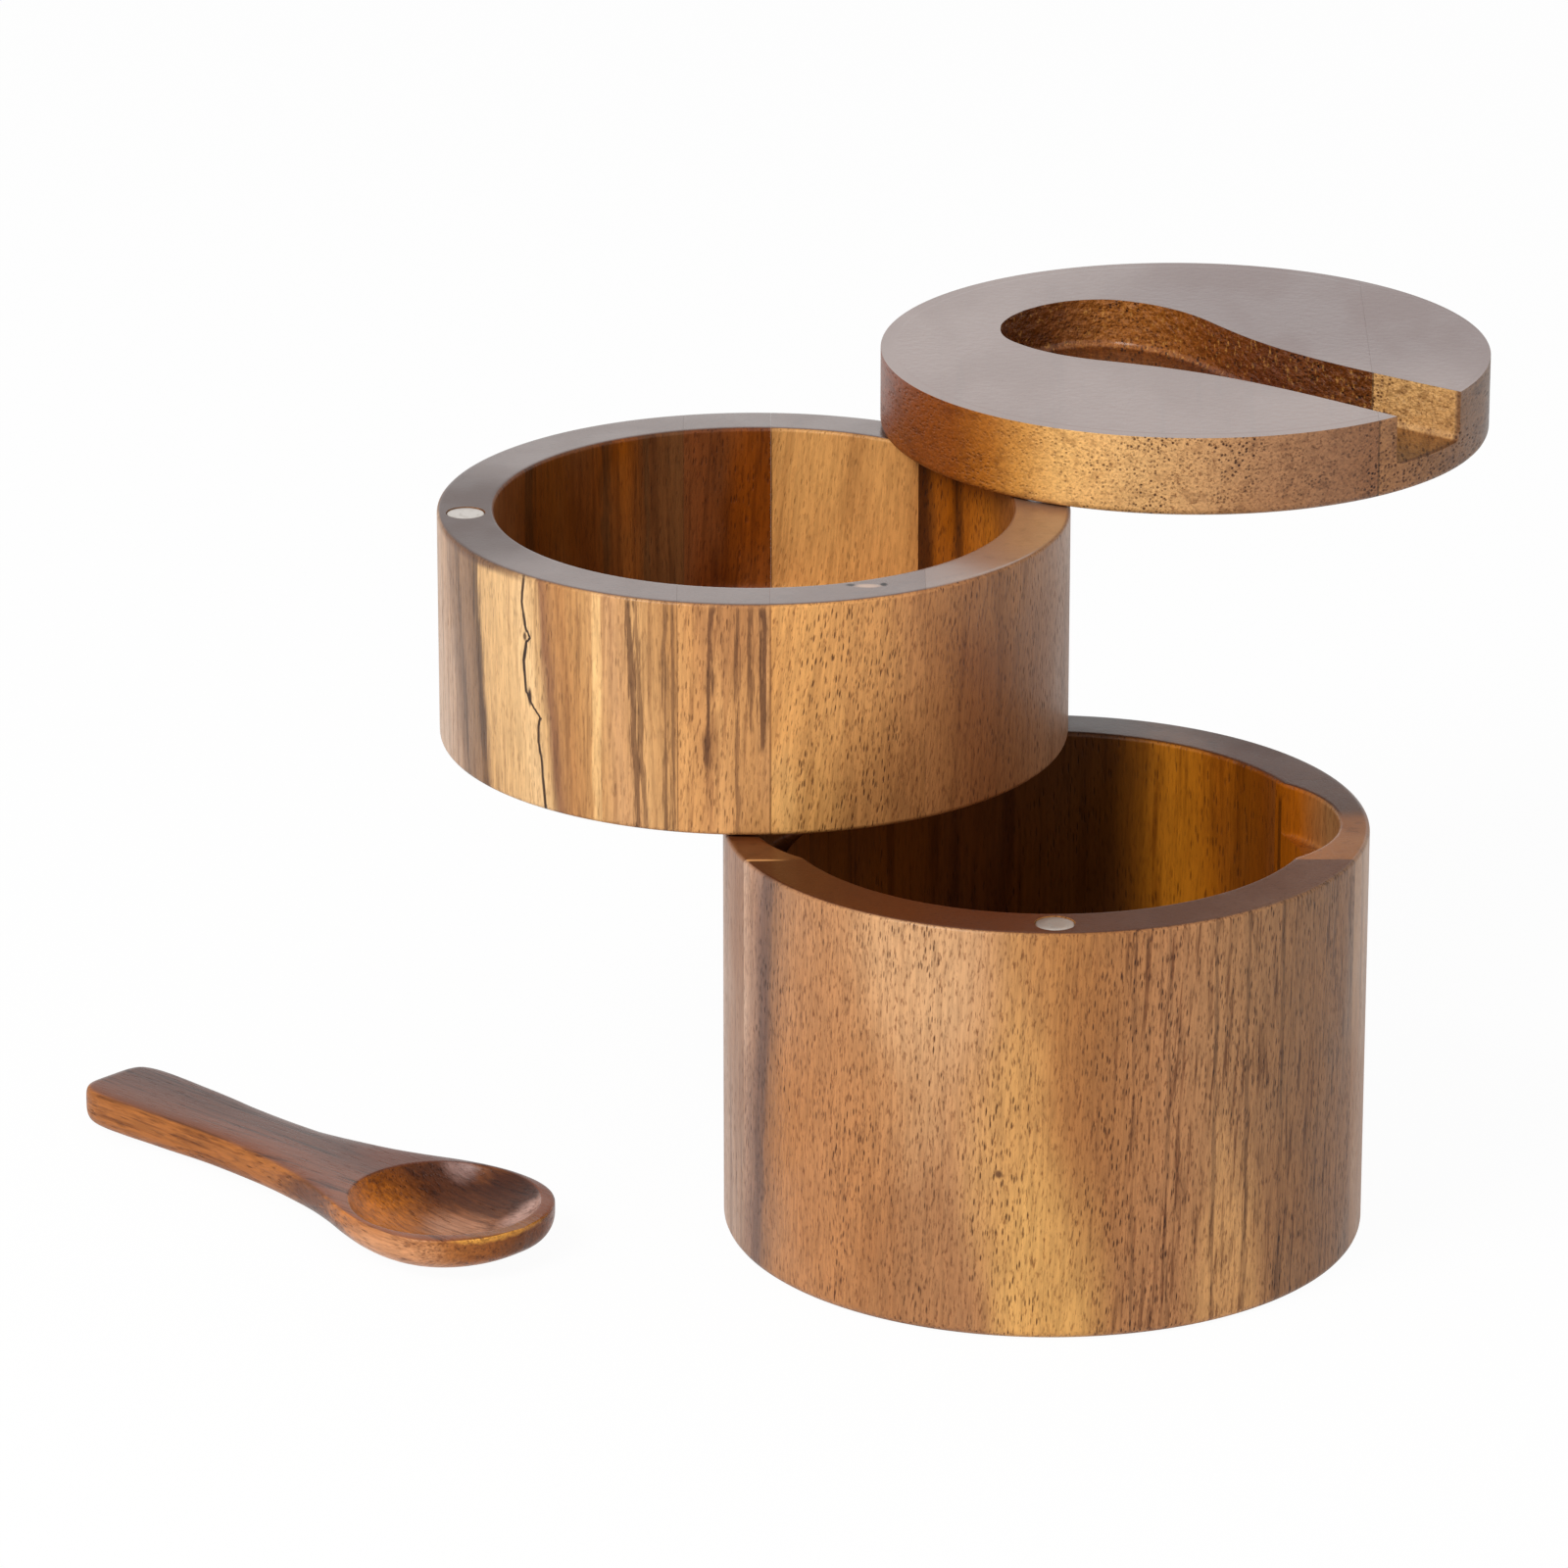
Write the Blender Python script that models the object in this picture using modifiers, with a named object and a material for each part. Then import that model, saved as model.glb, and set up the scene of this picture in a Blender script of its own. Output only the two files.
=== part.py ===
"""Two-tier wooden salt cellar with swivelling tiers, a lid with a spoon recess, and a spoon.

Run with: blender --background --python part.py
Units are metres, +Z is up, and the origin is the centre of the underside of the base.
Each tier is turned from a block of boards glued side by side, so each board is its own object.
The tiers stand swung open, turned about one upright axis through the back of the walls.
"""

import math

import bmesh
import bpy
from mathutils import Matrix, Vector

# Sizes that the three tiers share
OUTER_RADIUS = 0.050
WALL = 0.009
TIER_GAP = 0.0003
GLUE_LINE = 0.0001
OVERRUN = 0.004
ROUND_STEPS = 72
SOFT_STEPS = 3
POLE_MERGE = 0.00001
SMOOTH_ANGLE = math.radians(35.0)
CHAMFER_ANGLE = math.radians(60.0)

# Base bowl
BASE_HEIGHT = 0.066
BASE_FLOOR = 0.009
FOOT_RADIUS = 0.0016
RIM_RADIUS = 0.0007
COVE_RADIUS = 0.0035
BASE_SEAM_SHARES = (-0.355, 0.372)
BASE_BLOCK_TURN = math.radians(0.0)

# Finger scallops milled into the left and right of the base rim, as deep as their bite into the wall
SCALLOP_RADIUS = 0.0217
SCALLOP_BITE = 0.0043
SCALLOP_DEPTH = 0.0084
SCALLOP_COVE = 0.0010

# Upper bowl, called the tray
TRAY_HEIGHT = 0.0375
TRAY_FLOOR = 0.008
TRAY_EDGE_RADIUS = 0.0009
TRAY_SEAM_SHARES = (-0.232, 0.052, 0.530)
TRAY_BLOCK_TURN = math.radians(-5.0)

# Lid, which stands a little inside the rims below it
LID_THICKNESS = 0.0129
LID_INSET = 0.0006
LID_TOP_RADIUS = 0.0006
LID_FOOT_RADIUS = 0.0012
LID_SEAM_SHARES = (0.601,)
LID_BLOCK_TURN = math.radians(121.1)

# Pivot pins at the back of the walls
PIN_RADIUS = 0.0025
PIN_SEAT = 0.015
PIN_REACH = 0.008
PIN_CHAMFER = 0.0004
PIN_PRESS_GAP = 0.0001
PIN_RUNNING_GAP = 0.0001
PIN_STEPS = 24

# Closing magnets, opposite the pins
MAGNET_RADIUS = 0.003
MAGNET_THICKNESS = 0.002
MAGNET_GAP = 0.0001
MAGNET_CHAMFER = 0.0002
MAGNET_STEPS = 32

# How far each tier is swung from closed in the photograph, seen from above
TRAY_SWING = math.radians(-85.0)
LID_SWING = math.radians(-127.5)

# Spoon, modelled along +X from the end of its handle
SPOON_LENGTH = 0.0965
SPOON_HALF_WIDTH = 0.0158
SPOON_BOWL_HEIGHT = 0.0078
SPOON_HANDLE_THICKNESS = 0.0076
SPOON_ARCH = 0.0006
SPOON_LENGTH_SHARES = (
    0.0, 0.004, 0.014, 0.032, 0.06, 0.11, 0.17, 0.235, 0.295, 0.355, 0.415, 0.475,
    0.535, 0.595, 0.655, 0.715, 0.775, 0.835, 0.89, 0.935, 0.97, 0.992, 1.0,
)
SPOON_WIDTH_SHARES = (
    0.0, 0.185, 0.329, 0.427, 0.476, 0.485, 0.471, 0.458, 0.438, 0.439, 0.455, 0.483,
    0.540, 0.613, 0.725, 0.862, 0.963, 1.0, 0.955, 0.815, 0.585, 0.31, 0.0,
)
SPOON_RING_POINTS = 20
SPOON_WAIST_SHARE = 0.55
SPOON_BOWL_WAIST_SHARE = 0.80
SPOON_BOWL_BLEND_SHARES = (0.35, 0.75)
SPOON_BELLY_SHARE = 0.80
SPOON_END_ROUND_SHARE = 0.033
SPOON_END_DECK_SHARE = 0.28
SPOON_END_BELLY_SHARE = 0.12
SPOON_TIP_BELLY_SHARE = 0.20
DECK_SQUARENESS = 10.0
BELLY_SQUARENESS = 2.7
DISH_CENTRE_SHARE = 0.817
DISH_HALF_LENGTH = 0.0153
DISH_HALF_WIDTH = 0.0148
DISH_DEPTH = 0.0052
DISH_LIFT = 0.0022
DISH_SEGMENTS = 40
DISH_RINGS = 22

# Spoon recess in the lid: half widths along its axis, from its round end to past the lid's edge
RECESS_CLEARANCE = 0.0003
RECESS_COVE = 0.0015
RECESS_TURN = math.radians(172.7)
RECESS_END_SHARE = 0.344
RECESS_MERGE = 0.000001
RECESS_LENGTH_SHARES = (-1.0, -0.985, -0.93, -0.80, -0.62, -0.43, -0.26, -0.08, 0.14, 0.42, 0.76, 1.20, 1.60)
RECESS_WIDTH_SHARES = (0.0, 0.26, 0.56, 0.85, 0.98, 1.0, 0.94, 0.815, 0.675, 0.56, 0.505, 0.513, 0.545)

# Where the spoon lies on the table
SPOON_END = Vector((-0.1504, 0.0426))
SPOON_HEADING = math.radians(-43.8)

PIVOT_RADIUS = OUTER_RADIUS - WALL / 2
INNER_RADIUS = OUTER_RADIUS - WALL
LID_RADIUS = OUTER_RADIUS - LID_INSET
RECESS_DEPTH = SPOON_BOWL_HEIGHT + RECESS_CLEARANCE
RECESS_HALF_WIDTH = SPOON_HALF_WIDTH + RECESS_CLEARANCE
RECESS_END = SPOON_LENGTH * RECESS_END_SHARE

# Wood and metal colours: base colour, roughness, metallic
FINISHES = {
    "golden_acacia": ((0.46, 0.25, 0.10), 0.42, 0.0),
    "amber_acacia": ((0.40, 0.20, 0.07), 0.42, 0.0),
    "walnut_acacia": ((0.24, 0.12, 0.055), 0.42, 0.0),
    "sapwood": ((0.62, 0.40, 0.19), 0.45, 0.0),
    "streaked_acacia": ((0.36, 0.19, 0.085), 0.42, 0.0),
    "honey_acacia": ((0.52, 0.29, 0.11), 0.42, 0.0),
    "lid_acacia": ((0.34, 0.17, 0.075), 0.40, 0.0),
    "spoon_wood": ((0.38, 0.18, 0.07), 0.40, 0.0),
    "nickel": ((0.72, 0.71, 0.69), 0.25, 1.0),
    "steel": ((0.60, 0.60, 0.60), 0.30, 1.0),
}


def clear_scene():
    for obj in list(bpy.data.objects):
        bpy.data.objects.remove(obj)


def collection(name):
    made = bpy.data.collections.new(name)
    bpy.context.scene.collection.children.link(made)
    return made


def finish(name):
    """A Principled material of the named finish, made once."""
    material = bpy.data.materials.get(name)
    if material is None:
        colour, roughness, metallic = FINISHES[name]
        material = bpy.data.materials.new(name)
        material.use_nodes = True
        shader = material.node_tree.nodes["Principled BSDF"]
        shader.inputs["Base Color"].default_value = (*colour, 1.0)
        shader.inputs["Roughness"].default_value = roughness
        shader.inputs["Metallic"].default_value = metallic
    return material


def add_object(name, data, where):
    obj = bpy.data.objects.new(name, data)
    where.objects.link(obj)
    return obj


def as_cutter(obj):
    obj.hide_render = True
    obj.display_type = "WIRE"
    return obj


def evaluated_mesh(obj):
    """The object's mesh with its modifiers applied, in its own space."""
    bpy.context.view_layer.update()
    graph = bpy.context.evaluated_depsgraph_get()
    return bpy.data.meshes.new_from_object(obj.evaluated_get(graph))


def shade(mesh):
    mesh.shade_smooth()
    mesh.set_sharp_from_angle(angle=SMOOTH_ANGLE)


def boolean(obj, cutter, operation="DIFFERENCE"):
    modifier = obj.modifiers.new(f"{operation.lower()}_{cutter.name}", "BOOLEAN")
    modifier.operation = operation
    modifier.solver = "EXACT"
    modifier.object = cutter


def arc(centre, radius, start, end, steps=SOFT_STEPS):
    """Points of an arc in the (radius, height) plane, angles in degrees."""
    points = []
    for i in range(steps + 1):
        angle = math.radians(start + (end - start) * i / steps)
        points.append((centre[0] + radius * math.cos(angle), centre[1] + radius * math.sin(angle)))
    return points


def turned(name, profile, where):
    """A solid turned about Z from (radius, height) points that run down its outer side."""
    mesh = bpy.data.meshes.new(name)
    points = [(radius, 0.0, height) for radius, height in profile]
    edges = [(i, i + 1) for i in range(len(points) - 1)]
    mesh.from_pydata(points, edges, [])
    obj = add_object(name, mesh, where)
    screw = obj.modifiers.new("turn", "SCREW")
    screw.axis = "Z"
    screw.steps = ROUND_STEPS
    screw.render_steps = ROUND_STEPS
    screw.use_merge_vertices = True
    screw.merge_threshold = POLE_MERGE
    return obj


def bowl_profile(height, floor, edge_radius):
    """From the middle of the cavity's floor, up the inside, over the rim and down to the foot."""
    points = [(0.0, floor)]
    points += arc((INNER_RADIUS - COVE_RADIUS, floor + COVE_RADIUS), COVE_RADIUS, -90, 0)
    points += arc((INNER_RADIUS + RIM_RADIUS, height - RIM_RADIUS), RIM_RADIUS, 180, 90, 2)
    points += arc((OUTER_RADIUS - RIM_RADIUS, height - RIM_RADIUS), RIM_RADIUS, 90, 0, 2)
    points += arc((OUTER_RADIUS - edge_radius, edge_radius), edge_radius, 0, -90)
    points.append((0.0, 0.0))
    return points


def disc_profile():
    """From the middle of the lid's top, over its edge and down to the middle of its underside."""
    points = [(0.0, LID_THICKNESS)]
    points += arc((LID_RADIUS - LID_TOP_RADIUS, LID_THICKNESS - LID_TOP_RADIUS), LID_TOP_RADIUS, 90, 0, 2)
    points += arc((LID_RADIUS - LID_FOOT_RADIUS, LID_FOOT_RADIUS), LID_FOOT_RADIUS, 0, -90)
    points.append((0.0, 0.0))
    return points


def cylinder(name, radius, bottom, top, steps, where):
    """A capped cylinder standing on the origin's axis from bottom to top."""
    mesh = bpy.data.meshes.new(name)
    shape = bmesh.new()
    bmesh.ops.create_cone(
        shape,
        cap_ends=True,
        segments=steps,
        radius1=radius,
        radius2=radius,
        depth=top - bottom,
        matrix=Matrix.Translation((0.0, 0.0, (top + bottom) / 2)),
    )
    shape.to_mesh(mesh)
    shape.free()
    return add_object(name, mesh, where)


def box(name, low, high, where):
    """A box between two corners."""
    low, high = Vector(low), Vector(high)
    mesh = bpy.data.meshes.new(name)
    shape = bmesh.new()
    size = Matrix.Diagonal((high - low).to_4d())
    size[3][3] = 1.0
    bmesh.ops.create_cube(shape, size=1.0, matrix=Matrix.Translation((low + high) / 2) @ size)
    shape.to_mesh(mesh)
    shape.free()
    return add_object(name, mesh, where)


def hole(name, radius, bottom, top, along_y, steps, where):
    """A round cutter on the line between pin and magnet, along_y from the tier's centre."""
    cutter = as_cutter(cylinder(name, radius, bottom, top, steps, where))
    cutter.location = (0.0, along_y, 0.0)
    return cutter


def boards(blank, names, finishes, seam_shares, radius, turn, height, parts, cutters):
    """Slices a tier's blank at its glue seams. Boards run across the line that turn makes with Y."""
    reach = radius + OVERRUN
    seams = [-reach, *(share * radius for share in seam_shares), reach]
    made = []
    for i, (name, finish_name) in enumerate(zip(names, finishes, strict=True)):
        slab = as_cutter(
            box(
                f"{name}_slab",
                (-reach, seams[i] + GLUE_LINE / 2, -OVERRUN),
                (reach, seams[i + 1] - GLUE_LINE / 2, height + OVERRUN),
                cutters,
            )
        )
        slab.rotation_euler = (0.0, 0.0, turn)
        whole = as_cutter(add_object(f"{name}_blank", evaluated_mesh(blank), cutters))
        boolean(whole, slab, "INTERSECT")
        mesh = evaluated_mesh(whole)
        mesh.materials.clear()
        mesh.materials.append(finish(finish_name))
        shade(mesh)
        made.append(add_object(name, mesh, parts))
        bpy.data.objects.remove(whole)
    return made


def hang_on(objects, pivot, centre_y):
    """Parents a tier's pieces to its pivot, with the tier's centre centre_y in front of it."""
    for obj in objects:
        obj.parent = pivot
        obj.location += Vector((0.0, centre_y, 0.0))


def pivot_empty(name, location, swing, parent, where):
    empty = add_object(name, None, where)
    empty.parent = parent
    empty.location = location
    empty.rotation_euler = (0.0, 0.0, swing)
    return empty


def pin(name, seat_top, gap, parts):
    """A steel pin, pressed PIN_SEAT deep below seat_top and reaching PIN_REACH past the gap."""
    obj = cylinder(name, PIN_RADIUS, -PIN_SEAT, gap + PIN_REACH, PIN_STEPS, parts)
    bevel = obj.modifiers.new("chamfer", "BEVEL")
    bevel.width = PIN_CHAMFER
    bevel.segments = 1
    bevel.limit_method = "ANGLE"
    bevel.angle_limit = CHAMFER_ANGLE
    obj.data.materials.append(finish("steel"))
    obj.location = (0.0, PIVOT_RADIUS, seat_top)
    return obj


def magnet(name, face_height, faces_up, parts):
    """A disc magnet set MAGNET_GAP below a rim or an underside."""
    obj = cylinder(name, MAGNET_RADIUS, 0.0, MAGNET_THICKNESS, MAGNET_STEPS, parts)
    bevel = obj.modifiers.new("chamfer", "BEVEL")
    bevel.width = MAGNET_CHAMFER
    bevel.segments = 1
    bevel.limit_method = "ANGLE"
    bevel.angle_limit = CHAMFER_ANGLE
    obj.data.materials.append(finish("nickel"))
    height = face_height - MAGNET_GAP - MAGNET_THICKNESS if faces_up else face_height + MAGNET_GAP
    obj.location = (0.0, -PIVOT_RADIUS, height)
    return obj


def magnet_pocket(name, face_height, faces_up, cutters):
    depth = MAGNET_THICKNESS + 2 * MAGNET_GAP
    low, high = (face_height - depth, face_height + OVERRUN) if faces_up else (-OVERRUN, depth)
    return hole(name, MAGNET_RADIUS + MAGNET_GAP, low, high, -PIVOT_RADIUS, MAGNET_STEPS, cutters)


def pressed_hole(name, top, cutters):
    """The hole in a rim that holds a pin tight."""
    low = top - PIN_SEAT - PIN_PRESS_GAP
    return hole(name, PIN_RADIUS + PIN_PRESS_GAP, low, top + OVERRUN, PIVOT_RADIUS, PIN_STEPS, cutters)


def running_hole(name, cutters):
    """The blind hole in an underside that turns on a pin."""
    high = PIN_REACH + PIN_RUNNING_GAP
    return hole(name, PIN_RADIUS + PIN_RUNNING_GAP, -OVERRUN, high, PIVOT_RADIUS, PIN_STEPS, cutters)


def scallop_cutter(side, cutters):
    """A round milled pocket, rounded along its bottom edge, that thins the wall at side -1 or +1."""
    top = BASE_HEIGHT + OVERRUN
    floor = BASE_HEIGHT - SCALLOP_DEPTH
    profile = [(0.0, top), (SCALLOP_RADIUS, top)]
    profile += arc((SCALLOP_RADIUS - SCALLOP_COVE, floor + SCALLOP_COVE), SCALLOP_COVE, 0, -90, 2)
    profile.append((0.0, floor))
    name = "scallop_left" if side < 0 else "scallop_right"
    cutter = as_cutter(turned(name, profile, cutters))
    cutter.location = (side * (INNER_RADIUS + SCALLOP_BITE - SCALLOP_RADIUS), 0.0, 0.0)
    return cutter


def smooth_through(xs, ys, x):
    """Catmull-Rom value at x of the curve through (xs, ys)."""
    i = max(k for k in range(len(xs) - 1) if xs[k] <= x)
    span = xs[i + 1] - xs[i]
    t = (x - xs[i]) / span

    def slope(k):
        before, after = max(k - 1, 0), min(k + 1, len(xs) - 1)
        return (ys[after] - ys[before]) / (xs[after] - xs[before])

    a, b = ys[i], ys[i + 1]
    ma, mb = slope(i) * span, slope(i + 1) * span
    return (
        (2 * t**3 - 3 * t**2 + 1) * a
        + (t**3 - 2 * t**2 + t) * ma
        + (3 * t**2 - 2 * t**3) * b
        + (t**3 - t**2) * mb
    )


def recess_cutter(cutters):
    """The spoon-shaped cutter: a filled outline with rounded lower edges, run out past the rim."""
    shares, widths = RECESS_LENGTH_SHARES, RECESS_WIDTH_SHARES
    stations = [shares[0] + (shares[1] - shares[0]) / 3]
    for first, last in zip(shares[1:-1], shares[2:], strict=True):
        stations += [first, (first + last) / 2]
    stations.append(shares[-1])
    upper = [(-RECESS_END, 0.0)]
    for share in stations:
        half = smooth_through(shares, widths, share) * RECESS_HALF_WIDTH
        upper.append((share * RECESS_END, half))
    outline = upper + [(x, -y) for x, y in reversed(upper[1:])]
    curve = bpy.data.curves.new("recess_outline", "CURVE")
    curve.dimensions = "2D"
    curve.fill_mode = "BOTH"
    spline = curve.splines.new("POLY")
    spline.points.add(len(outline) - 1)
    for point, (x, y) in zip(spline.points, outline, strict=True):
        point.co = (x, y, 0.0, 1.0)
    spline.use_cyclic_u = True
    low, high = LID_THICKNESS - RECESS_DEPTH, LID_THICKNESS + OVERRUN
    curve.extrude = (high - low) / 2 - RECESS_COVE
    curve.bevel_depth = RECESS_COVE
    curve.offset = -RECESS_COVE
    curve.bevel_resolution = 1
    guide = add_object("recess_guide", curve, cutters)
    mesh = evaluated_mesh(guide)
    bpy.data.objects.remove(guide)
    shape = bmesh.new()
    shape.from_mesh(mesh)
    bmesh.ops.remove_doubles(shape, verts=shape.verts, dist=RECESS_MERGE)
    bmesh.ops.recalc_face_normals(shape, faces=shape.faces)
    shape.to_mesh(mesh)
    shape.free()
    cutter = as_cutter(add_object("recess_cutter", mesh, cutters))
    cutter.location = (0.0, 0.0, (low + high) / 2)
    cutter.rotation_euler = (0.0, 0.0, RECESS_TURN)
    return cutter


def make_base(parts, cutters):
    blank = as_cutter(turned("base_blank", bowl_profile(BASE_HEIGHT, BASE_FLOOR, FOOT_RADIUS), cutters))
    boolean(blank, scallop_cutter(-1, cutters))
    boolean(blank, scallop_cutter(1, cutters))
    boolean(blank, magnet_pocket("base_magnet_pocket", BASE_HEIGHT, True, cutters))
    boolean(blank, pressed_hole("base_pin_hole", BASE_HEIGHT, cutters))
    boards(
        blank,
        ("base_front_board", "base_middle_board", "base_back_board"),
        ("golden_acacia", "amber_acacia", "walnut_acacia"),
        BASE_SEAM_SHARES,
        OUTER_RADIUS,
        BASE_BLOCK_TURN,
        BASE_HEIGHT,
        parts,
        cutters,
    )
    magnet("base_rim_magnet", BASE_HEIGHT, True, parts)
    pin("lower_pivot_pin", BASE_HEIGHT, TIER_GAP, parts)


def make_tray(parts, cutters, pivot):
    profile = bowl_profile(TRAY_HEIGHT, TRAY_FLOOR, TRAY_EDGE_RADIUS)
    blank = as_cutter(turned("tray_blank", profile, cutters))
    boolean(blank, magnet_pocket("tray_rim_pocket", TRAY_HEIGHT, True, cutters))
    boolean(blank, magnet_pocket("tray_underside_pocket", 0.0, False, cutters))
    boolean(blank, pressed_hole("tray_pin_hole", TRAY_HEIGHT, cutters))
    boolean(blank, running_hole("tray_running_hole", cutters))
    made = boards(
        blank,
        ("tray_front_board", "tray_second_board", "tray_third_board", "tray_back_board"),
        ("sapwood", "streaked_acacia", "honey_acacia", "amber_acacia"),
        TRAY_SEAM_SHARES,
        OUTER_RADIUS,
        TRAY_BLOCK_TURN,
        TRAY_HEIGHT,
        parts,
        cutters,
    )
    made.append(magnet("tray_rim_magnet", TRAY_HEIGHT, True, parts))
    made.append(magnet("tray_underside_magnet", 0.0, False, parts))
    made.append(pin("upper_pivot_pin", TRAY_HEIGHT, TIER_GAP, parts))
    hang_on(made, pivot, -PIVOT_RADIUS)


def make_lid(parts, cutters, pivot):
    blank = as_cutter(turned("lid_blank", disc_profile(), cutters))
    boolean(blank, recess_cutter(cutters))
    boolean(blank, magnet_pocket("lid_magnet_pocket", 0.0, False, cutters))
    boolean(blank, running_hole("lid_running_hole", cutters))
    made = boards(
        blank,
        ("lid_wide_board", "lid_narrow_board"),
        ("lid_acacia", "streaked_acacia"),
        LID_SEAM_SHARES,
        LID_RADIUS,
        LID_BLOCK_TURN,
        LID_THICKNESS,
        parts,
        cutters,
    )
    made.append(magnet("lid_magnet", 0.0, False, parts))
    hang_on(made, pivot, -PIVOT_RADIUS)


def quarter_round(distance, span):
    """0 at a tip and 1 from span on, along a quarter of an ellipse."""
    return math.sqrt(1 - max(0.0, 1 - distance / span) ** 2)


def spoon_ring(share):
    """One cross-section of the spoon: a flat deck with soft edges over a rounder belly."""
    half_width = smooth_through(SPOON_LENGTH_SHARES, SPOON_WIDTH_SHARES, share) * SPOON_HALF_WIDTH
    start, full = SPOON_BOWL_BLEND_SHARES
    bowl = max(0.0, min(1.0, (share - start) / (full - start)))
    bowl = bowl * bowl * (3 - 2 * bowl)
    deck = SPOON_HANDLE_THICKNESS + (SPOON_BOWL_HEIGHT - SPOON_HANDLE_THICKNESS) * bowl
    belly = SPOON_ARCH * math.sin(math.pi * min(share / SPOON_BELLY_SHARE, 1.0)) ** 2
    waist_share = SPOON_WAIST_SHARE + (SPOON_BOWL_WAIST_SHARE - SPOON_WAIST_SHARE) * bowl
    waist = belly + (deck - belly) * waist_share
    end = quarter_round(share, SPOON_END_ROUND_SHARE)
    tip = quarter_round(1 - share, 1 - SPOON_BELLY_SHARE)
    rise = (deck - waist) * (SPOON_END_DECK_SHARE + (1 - SPOON_END_DECK_SHARE) * end)
    drop = (waist - belly) * (SPOON_END_BELLY_SHARE + (1 - SPOON_END_BELLY_SHARE) * end)
    drop *= SPOON_TIP_BELLY_SHARE + (1 - SPOON_TIP_BELLY_SHARE) * tip
    ring = []
    for k in range(SPOON_RING_POINTS):
        angle = 2 * math.pi * (k + 0.5) / SPOON_RING_POINTS
        c, s = math.cos(angle), math.sin(angle)
        power = 2 / (DECK_SQUARENESS if s > 0 else BELLY_SQUARENESS)
        across = math.copysign(abs(c) ** power, c) * half_width
        up = abs(s) ** power * (rise if s > 0 else -drop)
        ring.append((share * SPOON_LENGTH, across, waist + up))
    return ring


def make_spoon(parts, cutters):
    """A loft through the rings, with a dish sunk into the bowl by an egg-shaped cutter."""
    rings = [spoon_ring(share) for share in SPOON_LENGTH_SHARES[1:-1]]
    count = SPOON_RING_POINTS
    points = [point for ring in rings for point in ring]
    faces = []
    for i in range(len(rings) - 1):
        for k in range(count):
            a, b = i * count + k, i * count + (k + 1) % count
            faces.append((a, b, b + count, a + count))
    for ring, share, flip in ((0, 0.0, True), (len(rings) - 1, 1.0, False)):
        middle = sum((Vector(point) for point in rings[ring]), Vector()) / count
        points.append((share * SPOON_LENGTH, 0.0, middle.z))
        for k in range(count):
            a, b = ring * count + k, ring * count + (k + 1) % count
            faces.append((b, a, len(points) - 1) if flip else (a, b, len(points) - 1))
    mesh = bpy.data.meshes.new("spoon")
    mesh.from_pydata(points, [], faces)
    shape = bmesh.new()
    shape.from_mesh(mesh)
    bmesh.ops.recalc_face_normals(shape, faces=shape.faces)
    shape.to_mesh(mesh)
    shape.free()
    mesh.materials.append(finish("spoon_wood"))
    spoon = add_object("spoon", mesh, parts)
    ball = bpy.data.meshes.new("dish_cutter")
    shape = bmesh.new()
    bmesh.ops.create_uvsphere(shape, u_segments=DISH_SEGMENTS, v_segments=DISH_RINGS, radius=1.0)
    shape.to_mesh(ball)
    shape.free()
    cutter = as_cutter(add_object("dish_cutter", ball, cutters))
    deep = DISH_DEPTH + DISH_LIFT
    widen = 1 / math.sqrt(1 - (DISH_LIFT / deep) ** 2)
    cutter.scale = (DISH_HALF_LENGTH * widen, DISH_HALF_WIDTH * widen, deep)
    cutter.location = (DISH_CENTRE_SHARE * SPOON_LENGTH, 0.0, SPOON_BOWL_HEIGHT + DISH_LIFT)
    boolean(spoon, cutter)
    dished = evaluated_mesh(spoon)
    spoon.modifiers.clear()
    spoon.data = dished
    shade(dished)
    spoon.location = (*SPOON_END, 0.0)
    spoon.rotation_euler = (0.0, 0.0, SPOON_HEADING)


def main():
    clear_scene()
    parts = collection("salt_cellar")
    cutters = collection("cutters")
    tray_height = BASE_HEIGHT + TIER_GAP
    tray_pivot = pivot_empty("tray_pivot", (0.0, PIVOT_RADIUS, tray_height), TRAY_SWING, None, parts)
    lid_height = TRAY_HEIGHT + TIER_GAP
    lid_pivot = pivot_empty("lid_pivot", (0.0, 0.0, lid_height), LID_SWING, tray_pivot, parts)
    make_base(parts, cutters)
    make_tray(parts, cutters, tray_pivot)
    make_lid(parts, cutters, lid_pivot)
    make_spoon(parts, cutters)


main()
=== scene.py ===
import math

import bmesh
import bpy
import numpy as np
from mathutils import Matrix, Vector


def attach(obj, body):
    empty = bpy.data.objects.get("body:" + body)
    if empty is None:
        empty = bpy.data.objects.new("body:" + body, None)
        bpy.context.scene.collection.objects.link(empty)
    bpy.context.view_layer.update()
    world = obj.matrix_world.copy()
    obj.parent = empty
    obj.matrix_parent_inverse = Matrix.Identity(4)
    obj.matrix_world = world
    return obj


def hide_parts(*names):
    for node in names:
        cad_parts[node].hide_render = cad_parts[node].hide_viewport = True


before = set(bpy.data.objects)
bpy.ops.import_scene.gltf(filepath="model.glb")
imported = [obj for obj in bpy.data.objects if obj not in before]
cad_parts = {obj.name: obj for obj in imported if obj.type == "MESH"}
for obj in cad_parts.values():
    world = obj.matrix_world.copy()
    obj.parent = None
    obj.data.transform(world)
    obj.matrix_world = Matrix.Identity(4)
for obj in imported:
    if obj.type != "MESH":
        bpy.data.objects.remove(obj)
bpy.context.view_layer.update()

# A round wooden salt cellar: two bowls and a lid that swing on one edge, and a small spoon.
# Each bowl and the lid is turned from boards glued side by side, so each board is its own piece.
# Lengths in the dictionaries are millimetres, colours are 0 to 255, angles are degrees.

mm = 0.001


# Small helpers for arrays and meshes

def polar(radius, degrees):
    return np.array([radius * math.cos(math.radians(degrees)), radius * math.sin(math.radians(degrees))])


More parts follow.
